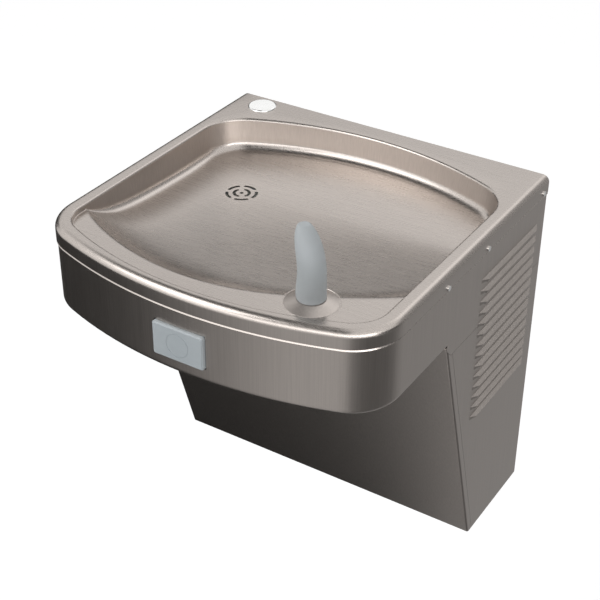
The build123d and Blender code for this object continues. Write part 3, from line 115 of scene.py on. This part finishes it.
def brush_lines(made, direction):
    """Stretches an anisotropic metal's gloss across brush lines that run in that direction."""
    nodes, links = made.node_tree.nodes, made.node_tree.links
    surface = nodes.new("ShaderNodeNewGeometry")
    across = nodes.new("ShaderNodeVectorMath")
    across.operation = "CROSS_PRODUCT"
    across.inputs[1].default_value = direction
    links.new(surface.outputs["Normal"], across.inputs[0])
    links.new(across.outputs["Vector"], nodes["Principled BSDF"].inputs["Tangent"])


def brushed(name, colour, roughness, direction, stretch, anisotropic=0.75):
    """Satin metal with fine scratches that run in one direction, drawn out there by the stretch."""
    made = material(name, colour, roughness, Metallic=1.0, Anisotropic=anisotropic)
    lines = texture(made, 700, stretch, detail=6)
    rough(made, lines, roughness - 0.02, roughness + 0.02)
    bump(made, lines, 0.000002, 0.1)
    dark, light = ([min(share * value, 1) for value in colour[:3]] + [1] for share in (0.92, 1.05))
    tint(made, lines, dark, light)
    brush_lines(made, direction)
    return made


STEEL = linear(189, 181, 175)
cabinet_steel = brushed("cabinet_steel", STEEL, 0.31, (0.1, 0.05, 1), (1, 1, 0.015))
boss_steel = brushed("boss_steel", STEEL, 0.40, (0, 0, 1), (1, 1, 0.02), anisotropic=0.3)
basin_steel = brushed("basin_steel", STEEL, 0.28, (1, 0.2, -0.15), (0.02, 1, 1), anisotropic=0.4)
finishes = {
    "stainless": basin_steel,
    "galvanised": material("galvanised", linear(176, 180, 184), 0.42, Metallic=1.0),
    "bright_steel": material("bright_steel", linear(236, 236, 234), 0.10, Metallic=1.0),
    "guard_rubber": material("guard_rubber", linear(158, 163, 165), 0.55),
    "pad_plastic": material("pad_plastic", linear(160, 168, 172), 0.45),
    "dark_plastic": material("dark_plastic", linear(34, 35, 37), 0.5),
    "white_plastic": material("white_plastic", linear(224, 224, 218), 0.35),
    "brass": material("brass", linear(205, 176, 118), 0.25, Metallic=1.0),
    "steel_shaft": material("steel_shaft", linear(190, 190, 192), 0.25, Metallic=1.0),
    "tank_steel": material("tank_steel", linear(200, 200, 200), 0.3, Metallic=1.0),
    "foam": material("foam", linear(38, 38, 39), 0.95),
    "black_enamel": material("black_enamel", linear(18, 18, 19), 0.3),
    "copper": material("copper", linear(206, 132, 98), 0.28, Metallic=1.0),
    "fin_aluminium": material("fin_aluminium", linear(196, 198, 200), 0.35, Metallic=1.0),
}
# Zinc spangle and the cloudy sheen of plain metal
for entry, dull, keen in (
    (finishes["galvanised"], linear(150, 156, 162), linear(192, 196, 200)),
    (finishes["tank_steel"], linear(182, 182, 182), linear(210, 210, 210)),
    (finishes["fin_aluminium"], linear(180, 183, 186), linear(205, 208, 211)),
):
    spangle = texture(entry, 140, kind="Voronoi")
    tint(entry, spangle, dull, keen)
    rough(entry, texture(entry, 90, detail=2), 0.32, 0.48)
# Stains that dull a polished metal
for entry, dull, keen in (
    (finishes["copper"], linear(176, 104, 72), linear(214, 142, 106)),
    (finishes["brass"], linear(184, 154, 98), linear(214, 186, 128)),
    (finishes["bright_steel"], linear(230, 230, 228), linear(242, 242, 241)),
    (finishes["steel_shaft"], linear(172, 172, 175), linear(200, 200, 203)),
):
    stain = texture(entry, 60, detail=5)
    tint(entry, stain, dull, keen)
    start = entry.node_tree.nodes["Principled BSDF"].inputs["Roughness"].default_value
    rough(entry, stain, start, start + 0.05)
# Moulded and enamelled surfaces, with a grain of that scale and depth in metres
for entry, dull, keen, grain, depth in (
    (finishes["guard_rubber"], linear(166, 171, 173), linear(176, 181, 184), 1400, 0.00005),
    (finishes["foam"], linear(32, 32, 33), linear(46, 46, 47), 700, 0.0004),
    (finishes["pad_plastic"], linear(163, 171, 175), linear(171, 178, 182), 1800, 0.00003),
    (finishes["dark_plastic"], linear(30, 31, 33), linear(38, 39, 41), 1600, 0.00004),
    (finishes["white_plastic"], linear(220, 220, 214), linear(230, 230, 225), 1600, 0.00003),
    (finishes["black_enamel"], linear(15, 15, 16), linear(22, 22, 23), 500, 0.00008),
):
    tint(entry, texture(entry, 25, detail=4), dull, keen)
    bump(entry, texture(entry, grain), depth, 0.5)

# Nodes brushed upwards, where the basin is brushed along its width
CABINET = (
    "upper_wrapper", "lower_front_panel", "left_side_panel", "right_side_panel", "underside_pan"
)
for part in frame["record"]["subparts"]:
    shown = frame["nodes"][part["node"]]
    shown.data.materials.clear()
    finish = cabinet_steel if part["node"] in CABINET else finishes[part["material_slot"]]
    shown.data.materials.append(finish)


# Basin, in millimetres as in the part's source; a drop is a depth below the deck
WIDTH, DEPTH, DECK = 457.0, 463.5, 190.0
COVER_RADIUS, COVER_CORNER = 562.5196, 65.0
OPENING = {
    "half": 207.5, "front": -448.5, "front_radius": 460.0, "front_corner": 42.0,
    "back": -30.0, "back_radius": 425.0, "back_corner": 60.0,
}
BOWL_MIDDLE = -230.0
SHEET = 1.2
LEDGE = 8.0
LIP = 3.5
BULLNOSE = 9.0
SKIRT, SKIRT_INSIDE = 25.0, 18.0
# Inset and drop of the skirt's rings: the hem's rolled bead, then the plain skirt
HEM = (0.6, SKIRT), (0.15, 24.7), (0, 24.0), (0.8, 22.5), (0, 21.7), (0, 17.0), (0, BULLNOSE)
# Floor: the valley's place, and each end's lowest drop and its rises to the front and back
VALLEY, VALLEY_WEIGHT = 168.0, 12.0
LEFT_END, RIGHT_END = (50.5, 0.05, 0.06), (36.0, 0.17, 0.02)
RAMP_CENTRE, RAMP_RADIUS = (-22.5, -82.0), 337.0
RAMP_SLOPE, RAMP_RUN = 0.82, 46.0
RAMP_BLEND, LEDGE_BLEND = 12.0, 1.0
# Wall: its taper, and the fillet at its foot, which grows with the wall's height
WALL_TAPER = 6.5 / 60
WALL_LEAST, WALL_FULL = 3.0, 22.0
FOOT_LEAST, FOOT_GROWTH, FOOT_POWER = 0.9, 11.1, 1.2
FOOT_PROBE = 14.0
# Drain: slots in two broken rings round a hub
DRAIN = np.array([-111.0, -178.0])
SLOT_HALF, SLOT_END_LEAST = 2.0, 0.02
OUTER_SLOTS, INNER_SLOTS, DRAIN_HUB = 18.8, 9.7, 2.5
BOSS = np.array([125.0, -390.0])
# Points round a ring, rings of the floor, and the circle round the drain where they end
AROUND = 500
FLOOR_RINGS = 75
MISS_FADE = 0.12
BAND = 26.0
EDGE = 1e-6
# Faces whose normal's upward share is under this are brushed upwards
UPRIGHT = 0.35
CREASE = 35


def arc(centre, radius, start, end):
    """Points on an arc and their outward normals."""
    turn = np.linspace(start, end, max(int(abs(end - start) * radius / 0.25), 3))
    normals = np.stack([np.cos(turn), np.sin(turn)], 1)
    return np.array(centre) + radius * normals, normals


def outline(half, front, front_radius, front_corner, back, back_radius=None, back_corner=None):
    """Right half of a plan from its front's middle to its back's, as points and normals."""
    front_centre = (0, front + front_radius)
    x = half - front_corner
    corner = (x, front_centre[1] - math.sqrt((front_radius - front_corner) ** 2 - x ** 2))
    lean = math.atan2(corner[1] - front_centre[1], x)
    runs = [arc(front_centre, front_radius, -math.pi / 2, lean), arc(corner, front_corner, lean, 0)]
    if back_radius:
        back_centre = (0, back - back_radius)
        x = half - back_corner
        corner = (x, back_centre[1] + math.sqrt((back_radius - back_corner) ** 2 - x ** 2))
        lean = math.atan2(corner[1] - back_centre[1], x)
        runs.append(arc(corner, back_corner, 0, lean))
        runs.append(arc(back_centre, back_radius, lean, math.pi / 2))
    else:
        line = np.stack([np.linspace(half, 0, 900), np.full(900, back)], 1)
        runs.append((np.array([[half, back]]), np.array([[1.0, 0.0]])))
        runs.append((line, np.tile([0.0, 1.0], (len(line), 1))))
    return np.concatenate([run[0] for run in runs]), np.concatenate([run[1] for run in runs])


def bearings(points):
    """Angles about the bowl's middle."""
    return np.arctan2(points[:, 1] - BOWL_MIDDLE, points[:, 0])


def sampled(points, normals, angles):
    """Points and normals at those angles, on both halves of a plan."""
    own = bearings(points)
    columns = [np.interp(angles, own, values) for values in (*points.T, *normals.T)]
    whole = [np.concatenate([c, sign * c[-2:0:-1]]) for c, sign in zip(columns, (-1, 1, -1, 1))]
    return np.stack(whole[:2], 1), np.stack(whole[2:], 1)


def blended(low, high, size):
    """Smaller of two values, rounded where they are nearly the same."""
    near = np.maximum(size - np.abs(low - high), 0) / size
    return np.minimum(low, high) - near ** 2 * size / 4


def section(y, drop, front_rise, back_rise):
    """Drop of the floor along the left or right end of the basin, as a weighted curve."""
    u = np.linspace(0, 1, 4000)
    weights = np.stack([(1 - u) ** 2, 2 * VALLEY_WEIGHT * u * (1 - u), u ** 2])
    total = weights.sum(0)
    places = -DEPTH, -VALLEY, 0.0
    drops = drop - front_rise * (DEPTH - VALLEY), drop, drop - back_rise * VALLEY
    across, down = ((np.array(values) @ weights) / total for values in (places, drops))
    return np.interp(y, across, down)


def bowl_drop(points):
    """Drop of the bowl's floor, ramp and ledge."""
    x, y = points[..., 0], points[..., 1]
    share = x / WIDTH + 0.5
    floor = (1 - share) * section(y, *LEFT_END) + share * section(y, *RIGHT_END)
    inside = RAMP_RADIUS - np.hypot(x - RAMP_CENTRE[0], y - RAMP_CENTRE[1])
    eased = RAMP_RUN * (1 - np.exp(-np.maximum(inside, 0) / RAMP_RUN))
    ramp = LEDGE + RAMP_SLOPE * np.where(inside > 0, eased, inside)
    return -blended(-LEDGE, -blended(floor, ramp, RAMP_BLEND), LEDGE_BLEND)


def slot_half(angle, first, pitch, sweep, radius):
    """Half width of a broken ring's round-ended slots at each angle, and 0 between them."""
    middle = first + sweep / 2
    off = (angle - middle + pitch / 2) % pitch - pitch / 2
    inside = sweep / 2 * radius - np.abs(off) * radius + SLOT_HALF
    past_end = np.clip(SLOT_HALF - inside, 0, SLOT_HALF)
    squared = np.clip(SLOT_HALF ** 2 - past_end ** 2, SLOT_END_LEAST ** 2, None)
    return np.where(inside > 0, np.sqrt(squared), 0)


def basin_piece():
    """Drawn basin as one sheet of rings: skirt, rolled edge, deck, lip, wall, floor and drain."""
    opening, opening_out = outline(**OPENING)
    cover, cover_out = outline(WIDTH / 2, -DEPTH, COVER_RADIUS, COVER_CORNER, 0.0)
    run = np.concatenate([[0], np.cumsum(np.hypot(*np.diff(opening, axis=0).T))])
    picks = np.interp(np.linspace(0, run[-1], AROUND // 2 + 1), run, bearings(opening))
    back_corner = math.atan2(-BOWL_MIDDLE, WIDTH / 2)
    picks[np.argmin(np.abs(picks - back_corner))] = back_corner
    rim, rim_out = sampled(opening, opening_out, picks)
    edge, edge_out = sampled(cover, cover_out, picks)
    behind = edge[:, 1] > -EDGE

    def edge_ring(inset, drop, back_inset=0.0):
        """Ring at that inset from the cover's edge, whose back stays straight."""
        ring = edge - inset * edge_out
        ring[behind, 0] = edge[behind, 0] * (1 - 2 * inset / WIDTH)
        ring[behind, 1] = -back_inset
        return np.column_stack([ring, np.full(len(ring), drop)])

    def rim_ring(grow, drop):
        """Ring that much outside the opening."""
        return np.column_stack([rim + grow * rim_out, np.full(len(rim), drop)])

    rings = [edge_ring(SHEET, SKIRT_INSIDE, SHEET), edge_ring(SHEET, SKIRT, SHEET)]
    rings += [edge_ring(inset, drop) for inset, drop in HEM]
    for turn in np.radians(np.linspace(9, 90, 10)):
        rings.append(edge_ring(BULLNOSE * (1 - math.cos(turn)), BULLNOSE * (1 - math.sin(turn))))
    lip = [
        rim_ring(LIP * (1 - math.sin(turn)), LIP * (1 - math.cos(turn)))
        for turn in np.radians(np.linspace(0, 90, 9))
    ]
    rings += [rings[-1] + share * (lip[0] - rings[-1]) for share in (0.3, 0.7)] + lip

    # Foot of the wall: a fillet between the tapered wall and the local floor
    inward = -rim_out
    local = bowl_drop(rim + FOOT_PROBE * inward)
    tall = np.clip((local - LEDGE - WALL_LEAST) / WALL_FULL, 0, 1)
    radius = FOOT_LEAST + FOOT_GROWTH * tall ** FOOT_POWER
    near = rim + (radius + 1)[:, None] * inward
    slope = (bowl_drop(near + 2 * inward) - bowl_drop(near)) / 2
    base = bowl_drop(near) - slope * (radius + 1)
    steep = WALL_TAPER * (local > LEDGE + WALL_LEAST)
    inset = radius.copy()
    for _ in range(20):
        centre_drop = base + slope * inset - radius * np.sqrt(1 + slope ** 2)
        inset = steep * np.maximum(centre_drop - LEDGE, 0) + radius * np.sqrt(1 + steep ** 2)
    start = -np.arctan(steep)
    finish = np.pi / 2 - np.arctan(slope)

    def foot_ring(turn):
        """Ring of the fillet where it has turned that far round its centre."""
        across = inset - radius * np.cos(turn)
        plan = rim + across[:, None] * inward
        return np.column_stack([plan, centre_drop + radius * np.sin(turn)])

    foot = [foot_ring(start + share * (finish - start)) for share in np.linspace(0, 1, 11)]
    rings += [lip[-1] + share * (foot[0] - lip[-1]) for share in (0.2, 0.5, 0.8)] + foot

    # Floor: straight lines from the wall's foot to a circle round the drain
    toward = foot[-1][:, :2] - DRAIN
    angle = np.arctan2(toward[:, 1], toward[:, 0])
    spoke = np.stack([np.cos(angle), np.sin(angle)], 1)
    patch = DRAIN + BAND * spoke
    miss = foot[-1][:, 2] - bowl_drop(foot[-1][:, :2])
    for share in np.linspace(0, 1, FLOOR_RINGS + 1)[1:]:
        plan = foot[-1][:, :2] + share * (patch - foot[-1][:, :2])
        drop = bowl_drop(plan) + miss * max(0, 1 - share / MISS_FADE) ** 2
        rings.append(np.column_stack([plan, drop]))

    # Drain grid: two broken rings of slots
    degree = math.pi / 180
    cap = SLOT_HALF / OUTER_SLOTS
    outer = slot_half(
        angle, 129.5 * degree + cap, 72 * degree, 57 * degree - 2 * cap, OUTER_SLOTS
    )
    inner = slot_half(angle, 157 * degree, math.pi, 118 * degree, INNER_SLOTS)
    grid = []
    for middle, half in ((OUTER_SLOTS, outer), (INNER_SLOTS, inner)):
        reach = np.where(half > 0, half, SLOT_HALF)
        grid += [(middle + reach, half > 0), (middle - reach, None)]
    grid.append((np.full(len(angle), DRAIN_HUB), None))
    holes = {}
    for radii, open_here in grid:
        plan = DRAIN + radii[:, None] * spoke
        if open_here is not None:
            holes[len(rings)] = open_here
        rings.append(np.column_stack([plan, bowl_drop(plan)]))

    count = len(rim)
    corners = np.concatenate(rings)
    corners[:, 2] = DECK - corners[:, 2]
    faces = []
    for ring in range(len(rings) - 1):
        for k in range(count):
            after = (k + 1) % count
            if ring in holes and holes[ring][k] and holes[ring][after]:
                continue
            a, b = ring * count + k, ring * count + after
            faces.append((a, b, b + count, a + count))
    mesh = bpy.data.meshes.new("drawn_basin")
    mesh.from_pydata((corners / 1000).tolist(), [], faces)
    work = bmesh.new()
    work.from_mesh(mesh)
    bmesh.ops.remove_doubles(work, verts=work.verts, dist=0.00002)
    bmesh.ops.recalc_face_normals(work, faces=work.faces)

    # Walls of the slots, down through the sheet
    middle = Vector((*(DRAIN / 1000), 0))
    rims = [
        e for e in work.edges
        if e.is_boundary and 0.003 < (e.verts[0].co - middle).xy.length < BAND / 1000
    ]
    made = bmesh.ops.extrude_edge_only(work, edges=rims)["geom"]
    lower = [item for item in made if isinstance(item, bmesh.types.BMVert)]
    bmesh.ops.translate(work, verts=lower, vec=(0, 0, -SHEET / 1000))
    work.to_mesh(mesh)
    work.free()
    mesh.materials.append(finishes["stainless"])
    mesh.materials.append(cabinet_steel)
    for face in mesh.polygons:
        face.material_index = int(abs(face.normal.z) < UPRIGHT)
    return mesh


def boss_piece():
    """Raised cone under the bubbler, its foot running on below the ledge."""
    # Radius and drop: collar, flat top, straight side, groove at its foot, and the hidden skirt
    profile = [
        (11.6, 4.0), (11.6, 2.4), (12.0, 2.0), (16.9, 2.0), (17.4, 2.1), (17.8, 2.3),
        (20.0, 3.3), (24.0, 5.1), (28.0, 6.9), (29.8, 7.7), (30.4, 8.0), (31.0, 8.6),
        (31.6, 8.0), (32.2, 7.95), (33.0, 8.6), (36.0, 12.0), (50.0, 26.0),
    ]
    steps = 128
    corners = []
    faces = []
    for radius, drop in profile:
        for k in range(steps):
            angle = 2 * math.pi * k / steps
            x, y = BOSS + radius * np.array([math.cos(angle), math.sin(angle)])
            corners.append((x / 1000, y / 1000, (DECK - drop) / 1000))
    for ring in range(len(profile) - 1):
        for k in range(steps):
            here, after = ring * steps + k, ring * steps + (k + 1) % steps
            faces.append((here, here + steps, after + steps, after))
    mesh = bpy.data.meshes.new("boss")
    mesh.from_pydata(corners, [], faces)
    mesh.materials.append(boss_steel)
    return mesh


def placed(name, mesh, body, nodes):
    """Object of a mesh that rides on a body and stands for the CAD nodes, if any are named."""
    piece = bpy.data.objects.new(name, mesh)
    mesh.shade_smooth()
    mesh.set_sharp_from_angle(angle=math.radians(CREASE))
    bpy.context.scene.collection.objects.link(piece)
    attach(piece, body)
    if nodes:
        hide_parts(*nodes)


placed("drawn_basin", basin_piece(), "cabinet", ["basin"])
placed("bubbler_boss", boss_piece(), "cabinet", [])


def camera(position, azimuth, elevation, roll, lens):
    """Camera at that place, looking back along that azimuth and elevation, in degrees."""
    a, e, r = (math.radians(angle) for angle in (azimuth, elevation, roll))
    back = Vector((math.sin(a) * math.cos(e), -math.cos(a) * math.cos(e), math.sin(e)))
    right = Vector((math.cos(a), math.sin(a), 0))
    up = back.cross(right)
    across = math.cos(r) * right + math.sin(r) * up
    upward = math.cos(r) * up - math.sin(r) * right
    data = bpy.data.cameras.new("camera")
    data.lens = lens
    data.sensor_width = 36
    made = bpy.data.objects.new("camera", data)
    turned = Matrix((across, upward, back)).transposed().to_4x4()
    made.matrix_world = Matrix.Translation(position) @ turned
    bpy.context.scene.collection.objects.link(made)
    bpy.context.scene.camera = made


def softbox(name, position, target, width, height, power):
    """Soft rectangular lamp that faces its target."""
    data = bpy.data.lights.new(name, "AREA")
    data.shape = "RECTANGLE"
    data.size, data.size_y = width, height
    data.energy = power
    made = bpy.data.objects.new(name, data)
    made.location = position
    made.rotation_euler = (Vector(target) - Vector(position)).to_track_quat("-Z", "Y").to_euler()
    made.visible_camera = False
    bpy.context.scene.collection.objects.link(made)


def sheet_of(name, corners, made):
    """Flat stage sheet through four corners."""
    mesh = bpy.data.meshes.new(name)
    mesh.from_pydata(corners, [], [(0, 1, 2, 3)])
    mesh.materials.append(made)
    piece = bpy.data.objects.new(name, mesh)
    bpy.context.scene.collection.objects.link(piece)


def seen_directly(tree):
    """1 for camera, glossy and transmission rays, and 0 for the light on the object."""
    nodes, links = tree.nodes, tree.links
    path = nodes.new("ShaderNodeLightPath")
    total = path.outputs["Is Camera Ray"]
    for kind in ("Is Glossy Ray", "Is Transmission Ray"):
        either = nodes.new("ShaderNodeMath")
        either.operation = "MAXIMUM"
        links.new(total, either.inputs[0])
        links.new(path.outputs[kind], either.inputs[1])
        total = either.outputs[0]
    return total


# Studio, in metres: the floor's level and half width, and the cards' distance and lowest point
FLOOR_LEVEL, FLOOR_REACH = -1.1, 6
CARD_DISTANCE, CARD_LOWEST = 3.5, 1.0
CARD_MIDDLE = -0.25
WORLD_LIGHT = 0.75
FLOOR_LIFT = 0.35


def card(name, turn, lift, glow):
    """Curved studio card between two azimuths and two elevations that only gloss sees.

    It lies on a sphere about the object, drawn in where it would reach the floor. Its glow runs
    from the first value to the second as the azimuth grows.
    """
    steps = 24
    corners = []
    shades = []
    for row in range(steps + 1):
        rise = math.radians(lift[0] + (lift[1] - lift[0]) * row / steps)
        for column in range(steps + 1):
            share = column / steps
            angle = math.radians(turn[0] + (turn[1] - turn[0]) * share)
            reach = min(CARD_DISTANCE, CARD_LOWEST / max(-math.sin(rise), 0.001))
            flat = reach * math.cos(rise)
            x, y = flat * math.cos(angle), flat * math.sin(angle) + CARD_MIDDLE
            corners.append((x, y, reach * math.sin(rise)))
            shades.append(glow[0] + (glow[1] - glow[0]) * share)
    faces = []
    for row in range(steps):
        for column in range(steps):
            here = row * (steps + 1) + column
            faces.append((here, here + 1, here + steps + 2, here + steps + 1))
    mesh = bpy.data.meshes.new(name)
    mesh.from_pydata(corners, [], faces)
    level = mesh.attributes.new("level", "FLOAT", "POINT")
    level.data.foreach_set("value", shades)
    made = bpy.data.materials.new(name)
    made.use_nodes = True
    nodes, links = made.node_tree.nodes, made.node_tree.links
    nodes.clear()
    stored = nodes.new("ShaderNodeAttribute")
    stored.attribute_name = "level"
    shine = nodes.new("ShaderNodeEmission")
    output = nodes.new("ShaderNodeOutputMaterial")
    links.new(stored.outputs["Fac"], shine.inputs["Strength"])
    links.new(shine.outputs["Emission"], output.inputs["Surface"])
    mesh.materials.append(made)
    piece = bpy.data.objects.new(name, mesh)
    for kind in ("camera", "diffuse", "transmission", "shadow", "volume_scatter"):
        setattr(piece, "visible_" + kind, False)
    bpy.context.scene.collection.objects.link(piece)


camera(
    position=(0.76194, -1.42704, 0.97813), azimuth=32.14, elevation=33.10, roll=0.29, lens=81.75
)

# World: soft light on the object, and white where it is seen
world = bpy.data.worlds.new("studio")
bpy.context.scene.world = world
world.use_nodes = True
tree = world.node_tree
background = tree.nodes["Background"]
background.inputs["Color"].default_value = (1, 1, 1, 1)
background.inputs["Strength"].default_value = WORLD_LIGHT
white = tree.nodes.new("ShaderNodeBackground")
white.inputs["Color"].default_value = (1, 1, 1, 1)
white.inputs["Strength"].default_value = 1.0
chooser = tree.nodes.new("ShaderNodeMixShader")
tree.links.new(seen_directly(tree), chooser.inputs["Fac"])
tree.links.new(background.outputs[0], chooser.inputs[1])
tree.links.new(white.outputs[0], chooser.inputs[2])
tree.links.new(chooser.outputs[0], tree.nodes["World Output"].inputs["Surface"])

# Floor: pale, and lifted to white where it is seen
floor_material = material("floor", (0.85, 0.85, 0.85, 1), 0.9)
floor_tree = floor_material.node_tree
floor_shader = floor_tree.nodes["Principled BSDF"]
floor_shader.inputs["Specular IOR Level"].default_value = 0.0
floor_shader.inputs["Emission Color"].default_value = (1, 1, 1, 1)
lift = floor_tree.nodes.new("ShaderNodeMath")
lift.operation = "MULTIPLY"
lift.inputs[1].default_value = FLOOR_LIFT
floor_tree.links.new(seen_directly(floor_tree), lift.inputs[0])
floor_tree.links.new(lift.outputs[0], floor_shader.inputs["Emission Strength"])
floor_corners = [
    (x * FLOOR_REACH, y * FLOOR_REACH, FLOOR_LEVEL) for x, y in ((-1, -1), (1, -1), (1, 1), (-1, 1))
]
sheet_of("floor", floor_corners, floor_material)

# Name, azimuths, elevations and glows of each card; 0 is to the right and 270 in front
CARDS = (
    ("left_low", (170, 225), (-88, -8), (0.02, 0.03)),
    ("front_low", (225, 262), (-88, -8), (0.03, 0.46)),
    ("front_right_low", (262, 300), (-88, -8), (0.62, 0.68)),
    ("corner_low", (300, 345), (-88, -4), (0.12, 0.12)),
    ("right_front_low", (345, 392), (-88, 18), (0.12, 0.16)),
    ("right_low", (392, 460), (-88, -12), (0.40, 0.40)),
    ("right_mid", (392, 432), (-12, 34), (0.28, 0.50)),
    ("back_low", (98, 175), (-88, 21), (0.04, 0.04)),
    ("deck_high", (102, 142), (24, 42), (1.12, 1.12)),
    ("top_left", (128, 300), (46, 82), (0.06, 0.10)),
    ("strip", (196, 345), (12, 30), (0.9, 4.6)),
    ("right_high", (64, 98), (36, 52), (1.7, 1.5)),
)
for row in CARDS:
    card("card_" + row[0], *row[1:])
softbox("key", (-1.0, -1.4, 1.7), target=(0, -0.2, 0.1), width=1.2, height=1.2, power=14)

bpy.context.scene.view_settings.view_transform = "Standard"
